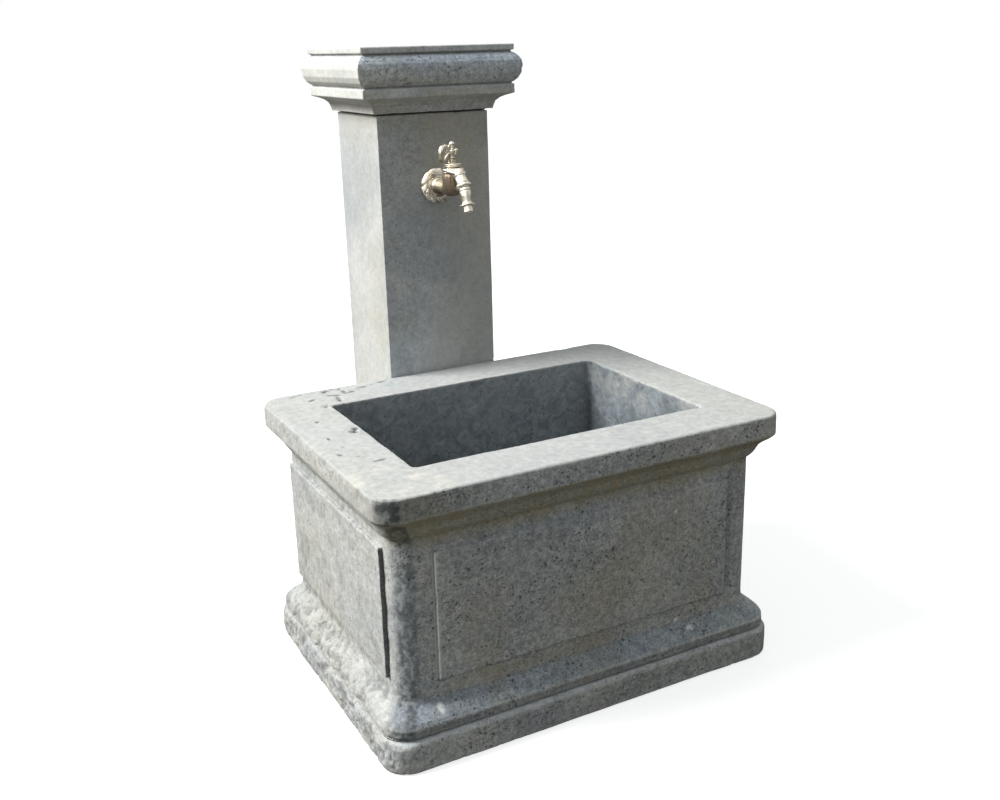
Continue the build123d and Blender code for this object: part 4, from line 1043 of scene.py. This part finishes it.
# painted shade and painted reflection: the rosette's lower right is browned
low_right_shade = step(rc[:, 0] * 0.5 - (rc[:, 2] - TAP_Z * 1000), 6.0, 34.0)
hollowness(rose, 12, 0.00070, 0.22 * step(17.5 - rr_, 0.0, 3.0) + 0.45 * low_right_shade + 0.45 * step(25 - rr_, 0.0, 5.0) * step(rc[:, 0] - (rc[:, 2] - TAP_Z * 1000), 4.0, 16.0))
brass_piece(rose, FOUNTAIN, "rosette")

# --- spout end frame, in mm: the end and tilt are given numbers; the nozzle's box is read but not used
NOZ_LO, NOZ_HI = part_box("spout_nozzle")
TILT = math.radians(20)
DOWN = np.array((0, -math.sin(TILT), -math.cos(TILT)))
END = np.array((0, FACE_Y * 1000 - 134.6, 850.0))
Fy = FACE_Y * 1000


def yz(f, zz):
    return (0.0, Fy - f, zz)


# --- body: barrel with gadrooned underside, neck, lip and spout, cast in one
def body_piece():
    parts = []
    vy = VALVE.y * 1000
    prof = [(0.5, 858.2), (4, 858.4), (8, 859.3), (11.5, 861.4), (14.3, 864.6), (16.4, 868.6), (18.0, 873.5),
            (19.2, 879.5), (20.0, 886.0), (20.3, 892.0), (20.1, 897.0), (19.3, 900.2), (18.6, 901.2), (18.6, 902.0),
            (20.0, 902.6), (20.9, 903.6), (20.9, 904.6), (20.0, 905.4), (20.6, 906.2), (21.9, 907.4), (22.3, 909.0),
            (21.9, 910.8), (20.4, 912.2), (18.8, 912.95), (12, 912.95)]
    hs = np.array([p[1] for p in prof])
    dense = []
    for k in range(len(prof) - 1):
        for t in np.linspace(0, 1, 5, endpoint=False):
            dense.append((prof[k][0] * (1 - t) + prof[k + 1][0] * t, prof[k][1] * (1 - t) + prof[k + 1][1] * t))
    dense.append(prof[-1])

    def flute(th, rr, hh, k):
        m = step(hh, 860, 872) * step(901.0 - hh, 0.0, 5.0)
        lobe = np.abs(np.cos(th * 7 + 0.2 + 0.9 * step(hh, 862, 900)))
        return rr * (1 + m * 0.075 * (lobe**0.7 - 0.62)), hh

    parts.append(lathe("b1", dense, 192, (0, VALVE.y, 0), (0, 0, 1), up=(1, 0, 0), shape=flute))
    # neck from the rosette to the barrel, with its shoulder and a waist
    neck = [(0.5, 5.0), (10.2, 5.0), (14.6, 8.9), (15.3, 9.6), (15.6, 10.6), (15.3, 11.7), (14.2, 12.6), (12.9, 13.6), (12.1, 15.5), (11.6, 20), (11.7, 27), (12.2, 34),
            (13.0, 41), (13.9, 47), (15.0, 53), (15.6, 60), (15.2, 68), (12.0, 77), (5, 80)]
    parts.append(lathe("b2", neck, 96, FACE, (0, -1, 0)))
    # lip that carries the shoulder forward over the spout
    f0, f1, r0, r1 = 77.0, 100.0, 21.0, 15.0
    ang = math.asin((r0 - r1) / (f1 - f0))
    outline = []
    for a in np.linspace(math.pi / 2 - ang, -(math.pi / 2 - ang), 48):
        outline.append((f1 + r1 * math.cos(a), r1 * math.sin(a)))
    for a in np.linspace(-(math.pi / 2 - ang), -(2 * math.pi - (math.pi / 2 - ang)), 72):
        outline.append((f0 + r0 * math.cos(a), r0 * math.sin(a)))
    outline = np.array(outline)
    centre = np.array((88.0, 0.0))
    rings = []
    for zz, ins in [(905.6, 2.4), (906.3, 1.0), (907.4, 0.2), (908.8, 0.0), (910.0, 0.5), (910.9, 1.8), (911.2, 3.2)]:
        d = outline - centre
        ln = np.linalg.norm(d, axis=1)[:, None]
        pts = centre + d * (ln - ins) / ln
        slope = -0.10 * (pts[:, 0] - 77.0)
        rings.append(np.stack([pts[:, 1], Fy - pts[:, 0], zz + np.where(pts[:, 0] > 77, slope, 0)], 1))
    n = len(outline)
    verts = list(np.concatenate(rings) * MM)
    faces = [(k * n + i, k * n + (i + 1) % n, (k + 1) * n + (i + 1) % n, (k + 1) * n + i) for k in range(len(rings) - 1) for i in range(n)]
    faces.append(tuple(range(n - 1, -1, -1)))
    faces.append(tuple((len(rings) - 1) * n + i for i in range(n)))
    parts.append(mesh_object("b3", verts, faces))
    # outlet branch, then the turned spout
    branch = spline_points([yz(74, 897), yz(88, 898.5), yz(99, 899), yz(106, 898), yz(111, 894.5)], 24)
    parts.append(tube("b4", branch, np.full(24, 10.4), 48))
    path = spline_points([yz(101.5, 909), yz(106.5, 901.5), yz(112.0, 893.6), yz(119, 885.5), yz(124.6, 878.0), yz(128.4, 870.6), yz(131.4, 862.0), tuple(END), tuple(END + 2 * DOWN)], 260)
    s = np.r_[0, np.cumsum(np.linalg.norm(np.diff(path, axis=0), axis=1))]
    total = s[-1]
    keys = [(0, 9.6), (6, 10.0), (8.5, 9.9), (9.6, 11.6), (11.2, 12.0), (12.8, 11.6), (13.8, 10.3), (18, 10.6), (23, 11.4), (27.5, 12.4), (30.5, 13.0),
            (31.6, 14.9), (33.2, 15.9), (35.2, 16.0), (37.0, 15.1), (38.2, 13.0), (39.2, 11.4), (40.4, 11.0), (41.4, 12.0), (42.6, 12.0), (43.6, 10.9), (47, 11.3), (52, 11.1), (57, 10.3),
            (62, 9.7), (64.2, 9.6), (65.2, 10.4), (66.4, 10.6), (total, 10.2)]
    ks, kr = np.array(keys).T
    ks = ks * (total / 68.0) if total > 0 else ks
    ks[-1] = total
    rad = np.interp(s, ks, kr)
    rad = np.convolve(np.pad(rad, 3, mode="edge"), np.ones(7) / 7, "valid")

    def petals(th, rr, t):
        m = step(np.array([t]), 0.20, 0.27)[0] * (1 - step(np.array([t]), 0.42, 0.47)[0])
        return rr * (1 + 0.07 * m * (np.abs(np.cos(th * 4)) ** 0.8 - 0.6))

    parts.append(tube("b5", path[:200], rad[:200], 72, shape=petals))
    parts.append(tube("b6", path[190:], rad[190:], 72, inner=5.4))
    stub = [tuple(END + d * DOWN) for d in np.linspace(-3, 11.9, 8)]
    parts.append(tube("b7", stub, np.full(8, 7.5), 48, inner=5.4))
    o = joined("tap_casting", parts)
    remesh(o, 0.00052)
    c, e = points(o.data), edges_of(o.data)
    c = smoothed(c, e, 3, 0.5)
    set_points(o.data, c)
    nr = normals(o.data)
    # leaf sheathing the barrel's back and the neck's top, raised and veined
    d = c * 1000
    f = Fy - d[:, 1]
    along = np.clip((f - 16) / 44, 0, 1)
    a = np.arctan2(d[:, 0], d[:, 2] - 872.0)
    half = 1.15 * np.sin(math.pi * np.clip(along * 0.86 + 0.10, 0, 1)) + 0.05
    on = (f > 16) & (f < 58) & (np.hypot(d[:, 0], d[:, 2] - 872.0) < 17.5)
    blade = np.clip(1 - np.abs(np.abs(a)) / half, 0, 1)
    leaf = (0.9 * step(blade, 0.0, 0.18) - 0.35 * np.exp(-((a / 0.07) ** 2)) + 0.25 * np.cos(9 * np.abs(a) + f * 0.9)) * on * step(blade, 0.0, 0.1)
    h = 0.7 * MM * leaf + 0.05 * MM * fbm(c, 0.006, 601, 2)
    set_points(o.data, c + nr * h[:, None])
    # painted shade and painted reflection of the dark ground: the underside, the neck and the barrel are browned
    shade = 0.40 * step(-nr[:, 2], 0.15, 0.8) + 0.95 * step(905.5 - d[:, 2], 0, 5) * step(103.5 - f, 0, 8) * step(f - 50, 0, 12) + 0.55 * step(877 - d[:, 2], 0, 10) * step(62 - f, 0, 8)
    hollowness(o, 16, 0.0005, shade * 0.9)
    return o


body = body_piece()
brass_piece(body, FOUNTAIN, "tap_body")


# --- turned pieces
def turned(name, prof, origin, axis, body_name, node, n=128, loop=True, up=(1, 0, 0), shape=None, bevel=0.0, mat=None, slot="polished_brass"):
    dense = []
    m = len(prof)
    for k in range(m if loop else m - 1):
        p, q = prof[k], prof[(k + 1) % m]
        for t in np.linspace(0, 1, 4, endpoint=False):
            dense.append((p[0] * (1 - t) + q[0] * t, p[1] * (1 - t) + q[1] * t))
    if not loop:
        dense.append(prof[-1])
    o = lathe(name, dense, n, origin, axis, up=up, loop=loop, shape=shape)
    c, e = points(o.data), edges_of(o.data)
    soft = smoothed(c, e, 2, 0.45)
    set_points(o.data, soft)
    hollowness(o, 6, 0.00035)
    return brass_piece(o, body_name, node, slot=slot, mat=mat)


turned("tap_spout_ring",
       [(7.6, 0.1), (10.0, 0.1), (10.9, 0.4), (11.6, 1.1), (12.9, 1.6), (14.6, 2.1), (15.8, 2.7), (16.3, 3.4), (16.3, 4.1), (15.8, 4.6), (14.2, 4.7), (12.2, 4.3), (10.6, 4.6), (7.6, 4.9)],
       END * MM, DOWN, FOUNTAIN, "spout_ring")
turned("tap_nozzle",
       [(7.6, 5.1), (10.0, 5.1), (10.3, 5.6), (10.2, 6.2), (9.6, 6.9), (9.45, 8), (9.4, 12), (9.45, 14.5), (9.9, 15.2), (9.95, 16.2), (9.5, 16.9), (8.8, 17.0), (6.6, 17.0), (6.1, 16.5), (6.05, 13.6), (7.5, 13.55)],
       END * MM, DOWN, FOUNTAIN, "spout_nozzle")
VZ = (0, VALVE.y, 0)
turned("tap_bonnet",
       [(6.2, 899.1), (11.8, 899.1), (11.85, 914.5), (15.6, 914.5), (16.2, 914.8), (16.2, 915.5), (15.2, 915.9), (15.2, 916.4), (16.4, 916.9), (17.2, 917.7), (17.4, 918.9), (17.2, 920.2), (16.3, 921.2), (14.6, 921.9), (10.5, 922.4), (7.2, 922.4), (7.1, 914.8), (4.2, 914.4), (4.2, 912.7), (6.1, 912.4)],
       VZ, (0, 0, 1), FOUNTAIN, "bonnet")
turned("tap_key_ball",
       [(2.5, 947.1), (4.3, 947.1), (4.7, 947.7), (4.3, 948.5), (3.2, 949.3), (2.8, 950.4), (3.4, 951.4)]
       + [(6.15 * math.sin(a), 957 - 6.15 * math.cos(a)) for a in np.linspace(0.62, math.pi - 0.05, 22)] + [(0.02, 963.15)],
       VZ, (0, 0, 1), "key", "handle_cap", n=96, loop=False)


# --- key: a leafy scroll on one side, a ball on a short arm on the other
def key_piece():
    ang = math.radians(8.0)
    out = np.array((-math.cos(ang), -math.sin(ang), 0))
    thick = np.array((-math.sin(ang), math.cos(ang), 0))
    c0 = np.array((0, VALVE.y * 1000, 0))

    def at(u, zz, w=0.0):
        return c0 + out * u + thick * w + np.array((0, 0, zz))

    parts = [lathe("k1", [(3.2, 929.7), (6.0, 929.7), (6.9, 930.4), (7.1, 931.4), (6.6, 932.4), (5.2, 933.2), (4.6, 934.5), (4.5, 938), (5.0, 941), (5.9, 943.0), (6.2, 944.4), (5.7, 945.7), (4.9, 946.5), (3.2, 946.8)], 64, VZ, (0, 0, 1), up=(1, 0, 0))]
    # the large wing: a leaf that swells out from the hub, drops beside the collar and curls over
    scroll = [at(3.5, 940.5), at(9.5, 939), at(14.0, 934.2), at(17.6, 929.2), at(20.9, 927.0), at(23.6, 930.0), at(24.0, 937), at(23.8, 945), at(21.2, 951.0), at(16.6, 953.8), at(12.2, 952.4), at(10.6, 948.6), at(12.2, 945.6), at(15.0, 945.4), at(16.4, 947.6)]
    p = spline_points(scroll, 170)
    r = np.interp(np.linspace(0, 1, 170), [0, 0.10, 0.25, 0.34, 0.46, 0.60, 0.72, 0.86, 1], [2.4, 3.0, 3.2, 3.2, 3.5, 3.9, 3.6, 2.6, 2.2])
    parts.append(tube("k2", p, r, 36, side=tuple(thick), flat=1.3))
    # the body of the leaf
    q = spline_points([at(8.5, 951.5), at(14.5, 950.0), at(19.0, 945.5), at(20.5, 938.5), at(20.4, 931.5)], 60)
    parts.append(tube("k5", q, np.interp(np.linspace(0, 1, 60), [0, 0.25, 0.6, 1], [2.4, 4.6, 4.8, 2.6]), 32, side=tuple(thick), flat=0.72))
    q = spline_points([at(4.0, 943), at(9.0, 943.5), at(14.0, 940.5), at(17.0, 935.5)], 40)
    parts.append(tube("k55", q, np.interp(np.linspace(0, 1, 40), [0, 0.6, 1], [3.0, 3.6, 2.4]), 28, side=tuple(thick), flat=0.8))
    # ribs laid on the wing's outside, like the folds of a leaf
    for w in (-2.9, 0.0, 2.9):
        q = spline_points([at(15.6, 928.6, w * 0.5), at(20.8, 924.4, w), at(25.4, 927.8, w), at(27.2, 936, w * 1.05), at(27.0, 945.6, w), at(24.0, 953.0, w * 0.9), at(17.8, 957.0, w * 0.6), at(11.4, 955.4, w * 0.3)], 110)
        parts.append(tube(f"k3{w}", q, np.interp(np.linspace(0, 1, 110), [0, 0.5, 1], [0.9, 1.35, 0.8]), 16, side=tuple(thick)))
    # inner leaf running up beside the stem
    q = spline_points([at(3.5, 938), at(6.8, 942), at(8.4, 947), at(8.0, 952.4), at(5.6, 955.0), at(3.8, 953.0)], 70)
    parts.append(tube("k4", q, np.interp(np.linspace(0, 1, 70), [0, 0.5, 1], [2.2, 2.1, 1.2]), 24, side=tuple(thick), flat=1.5))
    # arm and ball on the other side
    q = spline_points([at(-2.5, 936), at(-5.6, 936.6), at(-8.0, 938.6), at(-8.8, 941.5)], 30)
    parts.append(tube("k7", q, np.interp(np.linspace(0, 1, 30), [0, 0.5, 1], [2.6, 2.2, 2.5]), 24, side=tuple(thick), flat=1.15))
    parts.append(ball("k8", at(-8.8, 944.4), 5.0))
    o = joined("tap_key", parts)
    remesh(o, 0.00036)
    c, e = points(o.data), edges_of(o.data)
    c = smoothed(c, e, 3, 0.5)
    set_points(o.data, c)
    nr = normals(o.data)
    set_points(o.data, c + nr * (0.04 * MM * fbm(c, 0.004, 641, 2))[:, None])
    d = points(o.data) * 1000
    u = (d - c0) @ out
    shade = 0.55 * step(u, 9, 15) * step(940 - d[:, 2], 0, 14) + 0.35 * step(-nr[:, 2], 0.2, 0.8) + 0.5 * step(941 - d[:, 2], 0, 6) * (np.abs(u) < 8)
    hollowness(o, 14, 0.0004, shade)
    return o


brass_piece(key_piece(), "key", "handle")

# ====================================================================== the smaller CAD pieces: the listed ones with their arrises taken off, each given its slot's material
PLAIN_BRASS = brass_material("plain_brass", (0.62, 0.46, 0.22), (0.16, 0.10, 0.045), 0.30, 1.6)
COPPER = metal_material("copper_tube", (0.62, 0.30, 0.17), 0.30, 0.0008, (1, 1, 0.06), (0.16, 0.09, 0.06))
STEEL = metal_material("satin_steel", (0.56, 0.56, 0.55), 0.26, 0.0005, (1, 1, 1))
RUBBER = dull_material("black_rubber", (0.022, 0.022, 0.023), 0.72, 0.0009, 0.00006, 0.25)
FIBRE = dull_material("fibre_washer", (0.085, 0.050, 0.038), 0.85, 0.0007, 0.0001, 0.25)
PACKING = dull_material("gland_thread", (0.66, 0.66, 0.62), 0.8, 0.0006, 0.0002, 0.12)
NYLON = dull_material("nylon", (0.55, 0.55, 0.52), 0.5, 0.0014, 0.00004, 0.06)
PVC = dull_material("grey_pvc", (0.19, 0.20, 0.21), 0.42, 0.0016, 0.00004, 0.08)
BY_SLOT = {
    "plain_brass": PLAIN_BRASS, "polished_brass": BRASS, "copper": COPPER, "stainless": STEEL, "black_rubber": RUBBER,
    "fibre": FIBRE, "packing": PACKING, "nylon": NYLON, "grey_pvc": PVC, "mortar": MORTAR, "stone": STONE["basin"],
}


def softened(node, body_name, slot, width):
    o = merged_copy(node, node + "_fine")
    bm = bmesh.new()
    bm.from_mesh(o.data)
    bmesh.ops.dissolve_limit(bm, angle_limit=math.radians(0.6), verts=bm.verts, edges=bm.edges)
    sharp = [e for e in bm.edges if len(e.link_faces) == 2 and e.calc_face_angle(0) > math.radians(32)]
    bmesh.ops.bevel(bm, geom=sharp, offset=width, offset_type="OFFSET", segments=2, profile=0.6, affect="EDGES", clamp_overlap=True)
    bmesh.ops.triangulate(bm, faces=[f for f in bm.faces if len(f.verts) > 4])
    bmesh.ops.recalc_face_normals(bm, faces=bm.faces)
    bm.to_mesh(o.data)
    bm.free()
    o.data.polygons.foreach_set("use_smooth", [True] * len(o.data.polygons))
    o.data.set_sharp_from_angle(angle=math.radians(34))
    o.data.materials.append(BY_SLOT[slot])
    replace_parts(o, node)
    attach(o, body_name)
    return o


SLOT_OF = {s["node"]: s["material_slot"] for s in frame["record"]["subparts"]}
BODY_OF = {n: b for b, ns in frame["record"]["behaviour"]["bodies"].items() for n in ns}
done = {n for o in bpy.data.objects for n in o.get("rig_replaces", [])}
SOFTEN = {
    "gland_nut": 0.35, "wall_elbow": 0.5, "compression_nuts": 0.5, "inlet_connector": 0.4, "elbow_screws": 0.3, "clip_screws": 0.3,
    "pipe_clips": 0.5, "drain_locknut": 0.6, "drain_strainer": 0.25, "strainer_screw": 0.25, "drain_body": 0.3, "waste_pipe": 0.5,
    "supply_pipe": 0.15, "washer_nut": 0.2, "jumper": 0.2, "spindle": 0.2, "inlet_nipple": 0.3,
}
for node, obj in frame["nodes"].items():
    if node in done:
        continue
    slot_name = SLOT_OF[node]
    if node in SOFTEN:
        softened(node, BODY_OF[node], slot_name, SOFTEN[node] * MM)
    else:
        obj.data.materials.clear()
        obj.data.materials.append(BY_SLOT[slot_name])

# ====================================================================== stage, light, camera
floor = mesh_object("floor", [(-30, -30, -0.0006), (30, -30, -0.0006), (30, 30, -0.0006), (-30, 30, -0.0006)], [(0, 1, 2, 3)], smooth=False)
fm = Nodes("floor_pale")
spot = fm.noise(0.8, 3, 0.5)
path = fm.new("ShaderNodeLightPath")
pale = fm.mix(spot, (0.44, 0.44, 0.437), (0.46, 0.46, 0.457))
# what the floor throws back on the stone is kept low, as over turf or paving
fm.put(fm.bsdf.inputs["Base Color"], fm.mix(path.outputs["Is Camera Ray"], (0.12, 0.11, 0.085), pale))
fm.put(fm.bsdf.inputs["Emission Color"], (1.0, 1.0, 1.0))
fm.put(fm.bsdf.inputs["Emission Strength"], fm.math("MULTIPLY", path.outputs["Is Camera Ray"], 0.74))
fm.bsdf.inputs["Roughness"].default_value = 0.9
fm.bsdf.inputs["Specular IOR Level"].default_value = 0.1
floor.data.materials.append(fm.mat)

SKY = 0.57
world = bpy.data.worlds.new("studio")
bpy.context.scene.world = world
world.use_nodes = True
wt = world.node_tree
wt.nodes.clear()


def wnode(kind, **props):
    n = wt.nodes.new(kind)
    for k, v in props.items():
        setattr(n, k, v)
    return n


wo = wnode("ShaderNodeOutputWorld")
lp = wnode("ShaderNodeLightPath")
wc = wnode("ShaderNodeTexCoord")
sep = wnode("ShaderNodeSeparateXYZ")
wt.links.new(wc.outputs["Generated"], sep.inputs[0])


def wramp(socket, lo_, hi_, a_, b_):
    n = wnode("ShaderNodeMapRange", interpolation_type="SMOOTHSTEP")
    wt.links.new(socket, n.inputs["Value"])
    for k, v in (("From Min", lo_), ("From Max", hi_), ("To Min", a_), ("To Max", b_)):
        n.inputs[k].default_value = v
    return n.outputs[0]


def wmix(fac, a_, b_):
    n = wnode("ShaderNodeMix", data_type="RGBA")
    for sock, v in ((n.inputs["Factor"], fac), (n.inputs[6], a_), (n.inputs[7], b_)):
        if isinstance(v, bpy.types.NodeSocket):
            wt.links.new(v, sock)
        else:
            sock.default_value = v
    return n.outputs[2]


def wmul(a_, b_):
    n = wnode("ShaderNodeMath", operation="MULTIPLY")
    for sock, v in ((n.inputs[0], a_), (n.inputs[1], b_)):
        if isinstance(v, bpy.types.NodeSocket):
            wt.links.new(v, sock)
        else:
            sock.default_value = v
    return n.outputs[0]


# soft even sky for the stone; the polished brass also sees a bright wall to the left and a dim one in front
up = wramp(sep.outputs["Z"], -0.06, 0.12, 0.0, 1.0)
leftness = wramp(sep.outputs["X"], 0.15, -0.75, 0.55, 1.9)
frontness = wramp(sep.outputs["Y"], -0.35, -0.9, 1.0, 0.80)
overhead = wramp(sep.outputs["Z"], 0.35, 0.95, 1.0, 1.7)
gloss = wmul(wmul(leftness, frontness), overhead)
plain_sky = wmix(up, (0.10, 0.09, 0.07, 1), (0.93 * SKY, 0.97 * SKY, 1.0 * SKY, 1))
gloss_sky = wmix(up, (0.055, 0.040, 0.022, 1), (0.98, 0.97, 0.94, 1))
seen = wnode("ShaderNodeBackground")
seen.inputs["Color"].default_value = (1, 1, 1, 1)
fill = wnode("ShaderNodeBackground")
wt.links.new(wmix(lp.outputs["Is Glossy Ray"], plain_sky, gloss_sky), fill.inputs["Color"])
gs = wnode("ShaderNodeMix", data_type="FLOAT")
wt.links.new(lp.outputs["Is Glossy Ray"], gs.inputs["Factor"])
gs.inputs[2].default_value = 1.0
wt.links.new(gloss, gs.inputs[3])
wt.links.new(gs.outputs[0], fill.inputs["Strength"])
mixs = wnode("ShaderNodeMixShader")
wt.links.new(lp.outputs["Is Camera Ray"], mixs.inputs[0])
wt.links.new(fill.outputs[0], mixs.inputs[1])
wt.links.new(seen.outputs[0], mixs.inputs[2])
wt.links.new(mixs.outputs[0], wo.inputs[0])


def area(name, at, look, size, watts, color=(1, 1, 1), size_y=None):
    d = bpy.data.lights.new(name, "AREA")
    d.energy = watts
    d.color = color
    d.size = size
    if size_y:
        d.shape = "RECTANGLE"
        d.size_y = size_y
    o = link(bpy.data.objects.new(name, d))
    o.location = at
    o.rotation_mode = "QUATERNION"
    o.rotation_quaternion = (Vector(look) - Vector(at)).to_track_quat("-Z", "Y")
    return o


area("key", (-5.88, 1.75, 6.20), (0, 0, 0.5), 3.2, 1215, (1.0, 0.995, 0.978))

# camera: a lens, place and slight roll that give the view
cam_data = bpy.data.cameras.new("view")
cam = link(bpy.data.objects.new("view", cam_data))
cam_data.sensor_width = 36.0
cam_data.sensor_fit = "HORIZONTAL"
cam_data.lens = 1109.4 / 1000 * 36.0
cam_data.clip_start, cam_data.clip_end = 0.05, 60
az, el, roll = math.radians(-27.97), math.radians(17.86), math.radians(-1.49)
back = Vector((math.sin(az) * math.cos(el), -math.cos(az) * math.cos(el), math.sin(el)))
rgt = (-back).cross(Vector((0, 0, 1))).normalized()
upv = rgt.cross(-back)
r2 = rgt * math.cos(roll) + upv * math.sin(roll)
u2 = -rgt * math.sin(roll) + upv * math.cos(roll)
cam.matrix_world = Matrix(
    (
        (r2.x, u2.x, back.x, -0.9485),
        (r2.y, u2.y, back.y, -2.0339 + FACE_Y),
        (r2.z, u2.z, back.z, 1.1397),
        (0, 0, 0, 1),
    )
)
scene = bpy.context.scene
scene.camera = cam
scene.view_settings.view_transform = "Standard"
scene.view_settings.look = "None"
scene.view_settings.exposure = 0.0
scene.cycles.use_denoising = True
scene.cycles.max_bounces = 6
